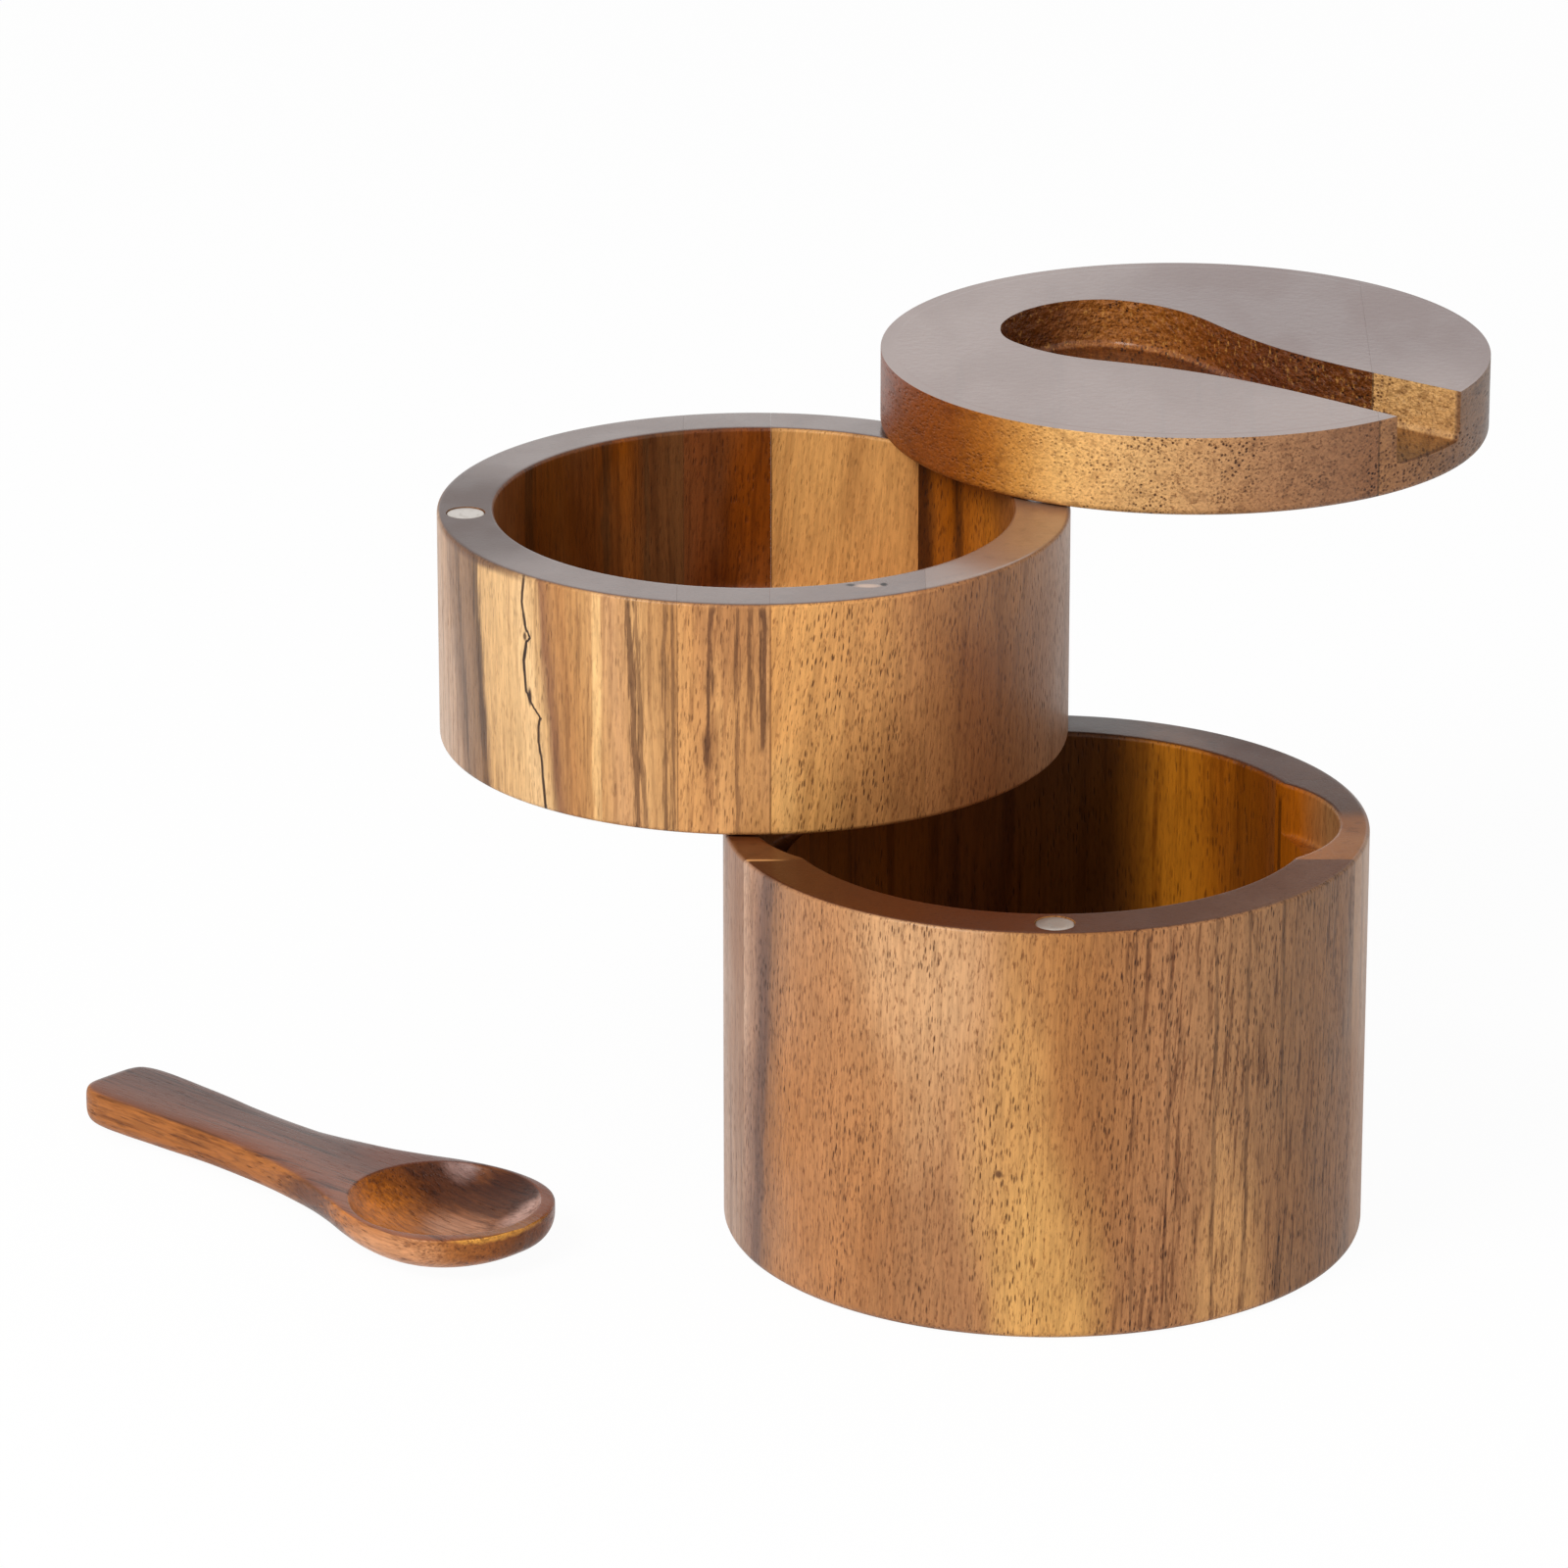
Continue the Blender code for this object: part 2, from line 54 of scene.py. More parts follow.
def arcRow(start, end, steps):
    # Evenly spaced angles of an arc, in radians.
    return np.radians(np.linspace(start, end, steps + 1))


def ringFaces(count, columns):
    # Quads that join neighbouring rows of points, each row closed round its columns.
    row, column = np.meshgrid(np.arange(count - 1), np.arange(columns), indexing="ij")
    a, b = row * columns + column, row * columns + (column + 1) % columns
    return np.stack([a, b, b + columns, a + columns], axis=-1).reshape(-1, 4).tolist()


def meshFromGrid(name, rows):
    # rows is an array (row, column, xyz) in mm. Each end is closed by a fan to the middle of its row.
    count, columns = rows.shape[:2]
    points = np.vstack([rows.reshape(-1, 3), rows[0].mean(axis=0), rows[-1].mean(axis=0)])
    around = np.arange(columns)
    following = (around + 1) % columns
    last = (count - 1) * columns
    foot = np.stack([following, around, np.full(columns, len(points) - 2)], axis=-1)
    head = np.stack([around + last, following + last, np.full(columns, len(points) - 1)], axis=-1)
    return meshFromFaces(name, points, ringFaces(count, columns) + foot.tolist() + head.tolist())


def meshFromFaces(name, points, faces):
    mesh = bpy.data.meshes.new(name)
    mesh.from_pydata((points * mm).tolist(), [], faces)
    shape = bmesh.new()
    shape.from_mesh(mesh)
    bmesh.ops.recalc_face_normals(shape, faces=shape.faces)
    shape.to_mesh(mesh)
    shape.free()
    return mesh


def addToScene(name, data):
    piece = bpy.data.objects.new(name, data)
    bpy.context.scene.collection.objects.link(piece)
    return piece


def bakeModifiers(piece):
    # Replaces the piece's mesh by what its modifiers make of it.
    bpy.context.view_layer.update()
    graph = bpy.context.evaluated_depsgraph_get()
    mesh = bpy.data.meshes.new_from_object(piece.evaluated_get(graph))
    old = piece.data
    piece.modifiers.clear()
    piece.data = mesh
    bpy.data.meshes.remove(old)


def cutAway(piece, cutterMesh):
    cutter = addToScene("cutter", cutterMesh)
    modifier = piece.modifiers.new("cut", "BOOLEAN")
    modifier.operation = "DIFFERENCE"
    modifier.solver = "EXACT"
    modifier.object = cutter
    bakeModifiers(piece)
    bpy.data.objects.remove(cutter)


def placed(points, turn, centre):
    # Turns points (mm) about Z by turn degrees and moves them to centre.
    c, s = math.cos(math.radians(turn)), math.sin(math.radians(turn))
    moved = points.copy()
    moved[..., 0] = points[..., 0] * c - points[..., 1] * s + centre[0]
    moved[..., 1] = points[..., 0] * s + points[..., 1] * c + centre[1]
    moved[..., 2] = points[..., 2] + centre[2]
    return moved


def smoothShade(mesh, degrees=32.0):
    mesh.shade_smooth()
    mesh.set_sharp_from_angle(angle=math.radians(degrees))


def evenShading(piece):
    # Flat faces keep their own normal right up to their rounded edges.
    modifier = piece.modifiers.new("even shading", "WEIGHTED_NORMAL")
    modifier.mode = "FACE_AREA"
    modifier.weight = 80
    modifier.keep_sharp = True
    bakeModifiers(piece)


def sliceBoards(blank, names, seams, across, centre):
    # Cuts the blank by planes at the seam places (mm from centre along across) and caps each cut.
    direction = Vector((across[0], across[1], 0.0)).normalized()
    middle = Vector(centre) * mm
    edges = [None, *seams, None]
    made = []
    for i, name in enumerate(names):
        shape = bmesh.new()
        shape.from_mesh(blank.data)
        for place, side in ((edges[i], 1), (edges[i + 1], -1)):
            if place is None:
                continue
            cut = bmesh.ops.bisect_plane(
                shape,
                geom=shape.verts[:] + shape.edges[:] + shape.faces[:],
                dist=1e-7,
                plane_co=middle + direction * (place + side * layout["glueGap"] / 2) * mm,
                plane_no=direction,
                clear_inner=side > 0,
                clear_outer=side < 0,
            )
            rim = [e for e in cut["geom_cut"] if isinstance(e, bmesh.types.BMEdge)]
            bmesh.ops.triangle_fill(shape, use_beauty=True, use_dissolve=False, edges=rim)
        bmesh.ops.recalc_face_normals(shape, faces=shape.faces)
        mesh = bpy.data.meshes.new(name)
        shape.to_mesh(mesh)
        shape.free()
        smoothShade(mesh)
        piece = addToScene(name, mesh)
        evenShading(piece)
        made.append(piece)
    bpy.data.objects.remove(blank)
    return made


def turnedMesh(name, profile, steps, centre):
    # A profile of (radius, height) in mm, carried round the upright line through centre.
    angle = np.linspace(0, 2 * np.pi, steps, endpoint=False)
    radius, height = np.array(profile).T
    rows = np.stack([
        radius[:, None] * np.cos(angle),
        radius[:, None] * np.sin(angle),
        np.repeat(height[:, None], steps, axis=1),
    ], axis=-1)
    return meshFromGrid(name, placed(rows, 0.0, centre))


def finishPiece(piece, node, body, material):
    piece.data.materials.clear()
    piece.data.materials.append(material)
    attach(piece, body)
    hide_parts(node)


# Shader helpers

def linear(colour):
    # A colour as it looks on the screen, 0 to 255, as a shader takes it.
    share = np.array(colour, dtype=float) / 255
    return tuple(np.where(share <= 0.04045, share / 12.92, ((share + 0.055) / 1.055) ** 2.4)) + (1.0,)


def startTree(owner):
    owner.use_nodes = True
    owner.node_tree.nodes.clear()
    return owner.node_tree


def addNode(tree, kind, inputs=None, **settings):
    node = tree.nodes.new("ShaderNode" + kind)
    for key, value in settings.items():
        setattr(node, key, value)
    for key, value in (inputs or {}).items():
        if isinstance(value, bpy.types.NodeSocket):
            tree.links.new(value, node.inputs[key])
        else:
            node.inputs[key].default_value = value
    return node


def joinNode(kind, inputs, **settings):
    # A node in the tree that its input sockets belong to.
    tree = next(value.id_data for value in inputs.values() if isinstance(value, bpy.types.NodeSocket))
    return addNode(tree, kind, inputs, **settings)


def math1(operation, a, b=0.0, c=0.0):
    return joinNode("Math", {0: a, 1: b, 2: c}, operation=operation).outputs[0]


def times(a, b):
    return math1("MULTIPLY", a, b)


def minus(a, b):
    return math1("SUBTRACT", a, b)


def timesPlus(a, b, c):
    return math1("MULTIPLY_ADD", a, b, c)


def vectorMath(operation, a, b=(0.0, 0.0, 0.0)):
    outputs = joinNode("VectorMath", {0: a, 1: b}, operation=operation).outputs
    return outputs["Value" if operation in ("LENGTH", "DOT_PRODUCT") else "Vector"]


def combine(tree, x=0.0, y=0.0, z=0.0):
    return addNode(tree, "CombineXYZ", {0: x, 1: y, 2: z}).outputs[0]


def separate(vector):
    return joinNode("SeparateXYZ", {0: vector}).outputs


def noise(vector, detail, roughness=0.5, scale=1.0):
    inputs = {"Vector": vector, "Scale": scale, "Detail": detail, "Roughness": roughness}
    return joinNode("TexNoise", inputs).outputs


def remap(value, low, high, outLow=0.0, outHigh=1.0, kind="SMOOTHSTEP"):
    inputs = {"Value": value, "From Min": low, "From Max": high, "To Min": outLow, "To Max": outHigh}
    return joinNode("MapRange", inputs, interpolation_type=kind).outputs[0]


def mixColour(amount, a, b, blend="MIX"):
    return joinNode("Mix", {0: amount, 6: a, 7: b}, data_type="RGBA", blend_type=blend).outputs[2]


def paint(amount, colour, tone):
    return mixColour(amount, colour, linear(tone))


def tint(amount, colour, tone):
    return mixColour(amount, colour, linear(tone), "MULTIPLY")


def rampThrough(share, stops):
    # A colour ramp through stops of (place 0 to 1, colour).
    ramp = joinNode("ValToRGB", {"Fac": share})
    elements = ramp.color_ramp.elements
    for i, (place, colour) in enumerate(stops):
        stop = elements[i] if i < 2 else elements.new(place)
        stop.position = place
        stop.color = colour
    return ramp.outputs["Color"]


def placeInMm(tree, middle, turn=(0.0, 0.0, 0.0)):
    # The object's own coordinates in mm from middle, turned into the grain's axes, and the normal.
    places = addNode(tree, "TexCoord").outputs
    inputs = {"Vector": places["Object"], "Location": tuple(Vector(middle) * mm), "Rotation": turn,
              "Scale": (mm, mm, mm)}
    return addNode(tree, "Mapping", inputs, vector_type="TEXTURE").outputs[0], places["Normal"]


def newGroup(name, output, **inputs):
    # A node group that takes Place and the named values, and puts out floats.
    tree = bpy.data.node_groups.new(name, "ShaderNodeTree")
    for key, value in {"Place": (0.0, 0.0, 0.0), **inputs}.items():
        kind = "NodeSocketVector" if isinstance(value, tuple) else "NodeSocketFloat"
        tree.interface.new_socket(key, in_out="INPUT", socket_type=kind).default_value = value
    for key in output.split():
        tree.interface.new_socket(key, in_out="OUTPUT", socket_type="NodeSocketFloat")
    return tree, tree.nodes.new("NodeGroupInput").outputs, tree.nodes.new("NodeGroupOutput").inputs


def useGroup(group, place, values):
    # Takes the inputs that the group knows by name out of values.
    inputs = {"Place": place}
    for item in group.interface.items_tree:
        if item.in_out == "INPUT" and item.name in values:
            inputs[item.name] = values[item.name]
    return joinNode("Group", inputs, node_tree=group).outputs


def makeFibreMarks():
    # Marks that run along the wood's fibre, which is Z of Place (mm): short pores, thin dark
    # streaks, fine fibre and soft clouds. On end grain the same pores show as dots.
    tree, start, end = newGroup(
        "fibreMarks", "Pores Flecks Streaks Fibre Clouds",
        poreGap=0.8, poreLength=5.0, poreWidth=0.2, streakGap=2.4, streakLength=60.0, cloudSize=16.0,
        wander=1.2, slant=0.0,
    )
    lean = combine(tree, times(separate(start["Place"])[2], start["slant"]))
    place = vectorMath("ADD", start["Place"], lean)
    drift = noise(vectorMath("MULTIPLY", place, (0.045, 0.045, 0.022)), 1.5)["Color"]
    centred = vectorMath("SUBTRACT", drift, (0.5, 0.5, 0.5))
    swing = combine(tree, start["wander"], start["wander"])
    bent = vectorMath("ADD", place, vectorMath("MULTIPLY", centred, swing))

    def stretched(gap, length):
        return vectorMath("DIVIDE", bent, combine(tree, gap, gap, length))

    gap, length, width = (start["pore" + key] for key in ("Gap", "Length", "Width"))
    cell = joinNode("TexVoronoi", {"Vector": stretched(gap, length), "Scale": 1.0}).outputs
    pores = remap(cell["Distance"], times(width, 0.7), times(width, 1.7), 1.0, 0.0)
    chance = joinNode("SeparateColor", {0: cell["Color"]}).outputs[0]
    pores = times(pores, remap(chance, 0.1, 0.75, 0.1, 1.0))
    crowd = noise(stretched(9.0, 30.0), 2.0)[0]
    tree.links.new(times(pores, remap(crowd, 0.36, 0.58, 0.25, 1.0)), end["Pores"])

    cloudSize = start["cloudSize"]
    for key, place, detail, roughness, low, high in (
        ("Flecks", stretched(times(gap, 0.9), times(length, 0.7)), 2.5, 0.6, 0.5, 0.74),
        ("Streaks", stretched(start["streakGap"], start["streakLength"]), 4.0, 0.62, 0.50, 0.68),
        ("Fibre", stretched(0.5, 7.0), 3.0, 0.6, 0.3, 0.7),
        ("Clouds", stretched(cloudSize, times(cloudSize, 2.4)), 3.0, 0.5, 0.32, 0.68),
    ):
        tree.links.new(remap(noise(place, detail, roughness)[0], low, high), end[key])
    return tree


def makeAcrossBoard():
    # How far across a board a place is, 0 to 1, for a colour ramp. Bands lean by lean mm per mm of
    # height and wander by bandWander mm, so that no band is ruled straight.
    tree, start, end = newGroup("acrossBoard", "Across", low=-50.0, high=50.0, lean=0.0, bandWander=1.0, fray=0.5)
    place = start["Place"]
    parts = separate(place)
    drift = noise(vectorMath("MULTIPLY", place, (0.05, 0.05, 0.045)), 2.0)[0]
    fray = noise(vectorMath("MULTIPLY", place, (0.8, 0.8, 0.07)), 5.0, 0.65)[0]
    moved = timesPlus(parts[2], start["lean"], parts[0])
    moved = timesPlus(minus(drift, 0.5), start["bandWander"], moved)
    moved = timesPlus(minus(fray, 0.5), start["fray"], moved)
    tree.links.new(remap(moved, start["low"], start["high"], kind="LINEAR"), end["Across"])
    return tree


def makeSoftPatch():
    # A soft oval patch: 1 at its middle, 0 outside its half sizes, with a ragged edge.
    tree, start, end = newGroup("softPatch", "Mask", at=(0.0, 0.0, 0.0), half=(5.0, 5.0, 5.0), ragged=0.5,
                                grain=3.0)
    place, grain = start["Place"], start["grain"]
    offset = vectorMath("SUBTRACT", place, start["at"])
    reach = vectorMath("LENGTH", vectorMath("DIVIDE", offset, start["half"]))
    fine = vectorMath("DIVIDE", place, combine(tree, grain, grain, times(grain, 5.0)))
    reach = timesPlus(minus(noise(fine, 3.0)[0], 0.5), start["ragged"], reach)
    tree.links.new(remap(reach, 0.35, 1.0, 1.0, 0.0), end["Mask"])
    return tree


def makeWanderingLine():
    # A thin line along the fibre at X = at, drawn between two heights, that wanders as cracks do.
    tree, start, end = newGroup("wanderingLine", "Mask", at=0.0, lean=0.0, wander=1.5, width=0.2, lowest=-100.0,
                                highest=100.0, seed=0.0, shift=0.0, ragged=0.0)
    parts = separate(start["Place"])
    drift = noise(combine(tree, start["seed"], z=times(parts[2], 0.12)), 4.0)[0]
    moved = timesPlus(parts[2], start["lean"], parts[0])
    moved = minus(minus(moved, start["at"]), start["shift"])
    moved = timesPlus(minus(drift, 0.5), start["wander"], moved)
    torn = noise(vectorMath("MULTIPLY", start["Place"], (2.4, 2.4, 0.11)), 4.0, 0.65)[0]
    away = math1("ABSOLUTE", moved)
    away = timesPlus(minus(torn, 0.5), start["ragged"], away)
    line = remap(away, times(start["width"], 0.4), start["width"], 1.0, 0.0)
    low = remap(parts[2], start["lowest"], math1("ADD", start["lowest"], 2.0))
    high = remap(parts[2], minus(start["highest"], 2.0), start["highest"], 1.0, 0.0)
    tree.links.new(times(times(line, low), high), end["Mask"])
    return tree


fibreMarks = makeFibreMarks()
acrossBoard = makeAcrossBoard()
softPatch = makeSoftPatch()
wanderingLine = makeWanderingLine()


# Wood

def patch(at, half, colour, amount=1.0, grain=3.0, ragged=0.5):
    # A soft oval patch of colour, a mark in the wood or painted shade, highlight or sheen: its middle and half sizes
    # in mm, and how strong and how ragged it is.
    return {"at": at, "half": half, "colour": colour, "amount": amount, "grain": grain, "ragged": ragged}


def topMarkOrShade(at, half, colour, coatLoss=0.0, ragged=0.3):
    # The same on a top, where it is a mark in the wood or painted shade. It may take a share of the lacquer away.
    return {**patch(at, half, colour, grain=12.0, ragged=ragged), "coatLoss": coatLoss}


def line(at, width, wander, ragged, colour, amount, seed=1.0, **more):
    # A line along the fibre. It may lean, stop at heights (lowest, highest), show only in front of
    # backEdge or behind frontEdge (mm along Y), follow a path of its own, or be an open crack.
    ends = {"lean": 0.0, "lowest": -100.0, "highest": 200.0}
    return {**ends, "at": at, "width": width, "wander": wander, "ragged": ragged, "colour": colour,
            "amount": amount, "seed": seed, **more}


# What every board has unless its own dictionary says otherwise
woodDefaults = {
    "lean": 0.02, "bandWander": 3, "fray": 1.6, "patches": (), "lines": (), "clouds": 0.3, "cloudSize": 16,
    "streaks": 0.6, "streakGap": 2.4, "streakLength": 60, "streakTint": (146, 120, 100), "flecks": 0.8,
    "fleckTint": (150, 122, 100), "pores": 0.6, "poreGap": 0.42, "poreLength": 3, "poreWidth": 0.22,
    "poreTint": (116, 86, 66), "fibre": 0.14, "wander": 2, "slant": 0, "endDark": 0.45,
    "endTint": (172, 150, 128), "fibreRelief": 0.12, "poreRelief": 0.6, "bump": 0.8, "roughness": 0.42,
    "specular": 0.28, "coat": 0.08, "coatRoughness": 0.16, "coatIor": 1.6, "topAmount": 1, "topCoat": 0.88,
    "topCalm": 0.75, "topStreaks": 0.25, "topSmooth": -0.08, "topMarks": (),
    # the same on every board
    "facingUp": (0.75, 0.97), "facingEnd": (0.35, 0.95), "fade": 0.8, "topStreakTint": (120, 100, 92),
    "streakRelief": 0.1, "fleckRelief": 0.2, "crackRelief": 1.5, "bumpHeight": 0.2, "ior": 1.45,
    "roughnessSwing": (-0.05, 0.06), "poreDull": 0.15,
}


def lineMask(place, parts, up, course):
    shift = 0.0
    if "path" in course:
        # the line's own course: steps aside (mm) at stated heights, kept as greys in a ramp
        steps = course["path"]
        lowest, highest = steps[0][0], steps[-1][0]
        share = remap(parts[2], lowest, highest, kind="LINEAR")
        greys = [((at - lowest) / (highest - lowest), (0.5 + aside / 10,) * 3 + (1.0,)) for at, aside in steps]
        aside = joinNode("SeparateColor", {0: rampThrough(share, greys)}).outputs[0]
        shift = times(minus(aside, 0.5), 10.0)
    mask = useGroup(wanderingLine, place, {**course, "shift": shift})["Mask"]
    amount = times(times(mask, course["amount"]), minus(1.0, up))
    fade = 4
    if "backEdge" in course:
        edge = course["backEdge"]
        amount = times(amount, remap(parts[1], edge - fade, edge, 1.0, 0.0))
    if "frontEdge" in course:
        edge = course["frontEdge"]
        amount = times(amount, remap(parts[1], edge, edge + fade))
    return amount


def woodMaterial(name, boardLook, grainFrame):
    # Lacquered wood. grainFrame is (middle in mm, across direction, fibre direction): the material
    # works in mm from that middle, X across the board, Z along the fibre.
    look = {**woodDefaults, **boardLook}
    middle, across, fibre = grainFrame
    xAxis, zAxis = Vector(across).normalized(), Vector(fibre).normalized()
    axes = Matrix((xAxis, zAxis.cross(xAxis), zAxis))
    upAxis = axes @ Vector((0.0, 0.0, 1.0))
    material = bpy.data.materials.new(name)
    tree = startTree(material)
    place, normal = placeInMm(tree, middle, tuple(axes.transposed().to_euler("XYZ")))
    parts = separate(place)
    level = vectorMath("DOT_PRODUCT", place, tuple(upAxis))
    up = remap(separate(normal)[2], *look["facingUp"])
    top = times(up, remap(level, look["topFrom"], look["topFrom"] + look["fade"]))
    besides = timesPlus(top, -look["topCalm"], 1.0)

    # Bands of colour across the board
    low, high = look["span"]
    share = useGroup(acrossBoard, place, {**look, "low": low, "high": high})["Across"]

    def banded(bands):
        return rampThrough(share, [((at - low) / (high - low), linear(tone)) for at, *tone in bands])

    def inZone(zone):
        start, full, least = zone
        return remap(parts[0], start, full, least, 1.0)

    colour = banded(look["bands"])
    if "backBands" in look:
        # the same board has another tone nearer the middle, and may have it further back too
        edge = look["insideOf"]
        radius = vectorMath("LENGTH", vectorMath("MULTIPLY", place, tuple(Vector((1, 1, 1)) - upAxis)))
        other = remap(radius, edge - look["fade"], edge, 1.0, 0.0)
        if "backFrom" in look:
            other = math1("MAXIMUM", other, remap(parts[1], *look["backFrom"]))
        colour = mixColour(other, colour, banded(look["backBands"]))

    # Soft patches and lines of this board: marks in the wood, and on some boards painted shade, highlights and sheen
    for mark in look["patches"]:
        amount = times(useGroup(softPatch, place, mark)["Mask"], mark["amount"])
        colour = paint(amount, colour, mark["colour"])
    crack = None
    for course in look["lines"]:
        amount = lineMask(place, parts, up, course)
        colour = paint(amount, colour, course["colour"])
        if course.get("open"):
            crack = amount

    # Clouds, streaks, fibre and pores
    marks = useGroup(fibreMarks, place, look)
    colour = paint(times(marks["Clouds"], look["clouds"]), colour, look["cloudTone"])
    streak = times(marks["Streaks"], look["streaks"])
    if "streakZone" in look:
        streak = times(streak, inZone(look["streakZone"]))
    colour = tint(streak, colour, look["streakTint"])
    hair = remap(marks["Fibre"], 0.0, 1.0, 1.0 - look["fibre"], 1.0 + look["fibre"])
    shade = joinNode("CombineColor", {0: hair, 1: hair, 2: hair}).outputs[0]
    colour = mixColour(1.0, colour, shade, "MULTIPLY")
    shown = 1.0
    if "backMarks" in look:
        shown = remap(other, 0.0, 1.0, 1.0, look["backMarks"])
    if "poreZone" in look:
        shown = times(shown, inZone(look["poreZone"]))
    for kind, amount, tone in (("Flecks", "flecks", "fleckTint"), ("Pores", "pores", "poreTint")):
        amount = times(times(marks[kind], look[amount]), shown)
        colour = tint(amount, colour, look[tone])

    # Sanded and buffed tops: one even tone, and more lacquer
    if "floorTint" in look:
        colour = mixColour(minus(up, top), colour, tint(1.0, colour, look["floorTint"]))
    topTone = banded(look["topBands"]) if "topBands" in look else linear(look["topTone"])
    topTone = paint(times(marks["Clouds"], 0.5), topTone, look["topDark"])
    topTone = tint(times(marks["Streaks"], look["topStreaks"]), topTone, look["topStreakTint"])
    coat = remap(top, 0.0, 1.0, look["coat"], look["topCoat"])
    # marks on the tops; some of them are painted shade
    for mark in look["topMarks"]:
        mask = useGroup(softPatch, place, mark)["Mask"]
        topTone = paint(mask, topTone, mark["colour"])
        if mark["coatLoss"]:
            coat = times(coat, timesPlus(times(mask, top), -mark["coatLoss"], 1.0))
    if "insideCoat" in look:
        inside = times(other, minus(1.0, top))
        coat = remap(inside, 0.0, 1.0, coat, look["insideCoat"])
    colour = mixColour(times(top, look["topAmount"]), colour, topTone)

    # End grain drinks more lacquer and is darker
    facing = math1("ABSOLUTE", vectorMath("DOT_PRODUCT", normal, tuple(zAxis)))
    endAmount = times(remap(facing, *look["facingEnd"]), look["endDark"])
    colour = mixColour(endAmount, colour, tint(1.0, colour, look["endTint"]))

    # Relief: pores and cracks sink, fibre stands a little
    relief = times(marks["Fibre"], look["fibreRelief"])
    for kind, depth in (("Pores", "poreRelief"), ("Streaks", "streakRelief"), ("Flecks", "fleckRelief")):
        relief = minus(relief, times(marks[kind], look[depth]))
    relief = times(relief, besides)
    if "insideSpecks" in look:
        # the recess is cut by a router and left a little rough under its lacquer. Specks are painted on its walls:
        # where their tone is bright they are painted highlights, glints off the rough lacquer, and where it is dark
        # they are dark specks
        tone, amount = look["insideSpecks"]
        glintsAndSpecks = noise(vectorMath("MULTIPLY", place, (1.5, 0.8, 1.5)), 3.0)[0]
        glintsAndSpecks = times(remap(glintsAndSpecks, 0.56, 0.72), times(other, besides))
        glintsAndSpecks = times(times(glintsAndSpecks, amount), timesPlus(up, -0.7, 1.0))
        colour = paint(glintsAndSpecks, colour, tone)
        chatter = times(noise(place, 4.0, scale=0.8)[0], look["insideRelief"])
        relief = timesPlus(chatter, times(other, besides), relief)
    if crack is not None:
        relief = minus(relief, times(crack, look["crackRelief"]))
    bump = joinNode("Bump", {"Height": relief, "Strength": look["bump"], "Distance": look["bumpHeight"] * mm})

    # Satin lacquer: a little uneven, duller in pores
    least, most = (look["roughness"] + step for step in look["roughnessSwing"])
    rough = remap(marks["Clouds"], 0.0, 1.0, least, most)
    rough = timesPlus(times(marks["Pores"], besides), look["poreDull"], rough)
    rough = timesPlus(top, look["topSmooth"], rough)
    shader = addNode(tree, "BsdfPrincipled", {
        "Base Color": colour, "Roughness": rough, "Normal": bump.outputs[0], "Coat Weight": coat,
        "Coat Roughness": look["coatRoughness"], "Coat IOR": look["coatIor"], "IOR": look["ior"],
        "Specular IOR Level": look["specular"],
    })
    addNode(tree, "OutputMaterial", {"Surface": shader.outputs[0]})
    return material


# Where the tiers stand: both swing about the upright line through the back of the walls

layout = {
    "outerRadius": 50.0,
    "innerRadius": 41.0,
    "pivotRadius": 45.5,
    "tierGap": 0.3,
    "glueGap": 0.02,
    "trayTurn": -85.0,        # swung from shut
    "lidTurn": -127.5,        # swung from shut, on the tray
    "trayLevel": 66.3,
    "lidLevel": 104.1,
    "columns": 288,
}
pivot = np.array([0.0, layout["pivotRadius"]])


def tierCentre(turn, level):
    return np.append(pivot + polar(layout["pivotRadius"], -90 + turn), level)


trayCentre = tierCentre(layout["trayTurn"], layout["trayLevel"])
lidCentre = tierCentre(layout["trayTurn"] + layout["lidTurn"], layout["lidLevel"])


# Magnets and pins, which also give the holes that take them

fittings = {
    "magnetRadius": 3.0, "magnetThickness": 2.0, "magnetChamfer": 0.2, "magnetGap": 0.1,
    "pinRadius": 2.5, "pinSeat": 15.0, "pinReach": 8.0, "pinChamfer": 0.4, "pinGap": 0.1,
    "steps": 64, "clear": 3.0,  # how far a cutter reaches past the face it opens
    "nickel": {"ringCount": 7.0, "edge": 3.0, "roughness": 0.24, "bright": (204, 197, 190),
               "dull": (166, 156, 146), "edgeTone": (150, 136, 122)},
    "steel": {"ringCount": 4.0, "edge": 2.5, "roughness": 0.3, "bright": (196, 196, 196),
              "dull": (158, 157, 155), "edgeTone": (150, 149, 147)},
}


def rodProfile(radius, low, high, chamfer):
    # Up the outside of a rod from the middle of its foot, with a rounded chamfer at each end.
    angle = arcRow(-90, 0, 3)
    foot = np.stack([radius - chamfer + chamfer * np.cos(angle), low + chamfer + chamfer * np.sin(angle)], axis=1)
    head = np.stack([foot[::-1, 0], low + high - foot[::-1, 1]], axis=1)
    inner = radius * 0.5
    return [(inner, low), *foot.tolist(), *head.tolist(), (inner, high)]


def holeMesh(radius, low, high, centre):
    profile = [(radius * 0.5, low), (radius, low), (radius, high), (radius * 0.5, high)]
    return turnedMesh("hole", profile, fittings["steps"], centre)


def cutPocket(blank, face, facesUp, centre):
    depth, clear = fittings["magnetThickness"] + 2 * fittings["magnetGap"], fittings["clear"]
    low, high = (face - depth, face + clear) if facesUp else (face - clear, face + depth)
    cutAway(blank, holeMesh(fittings["magnetRadius"] + fittings["magnetGap"], low, high, centre))


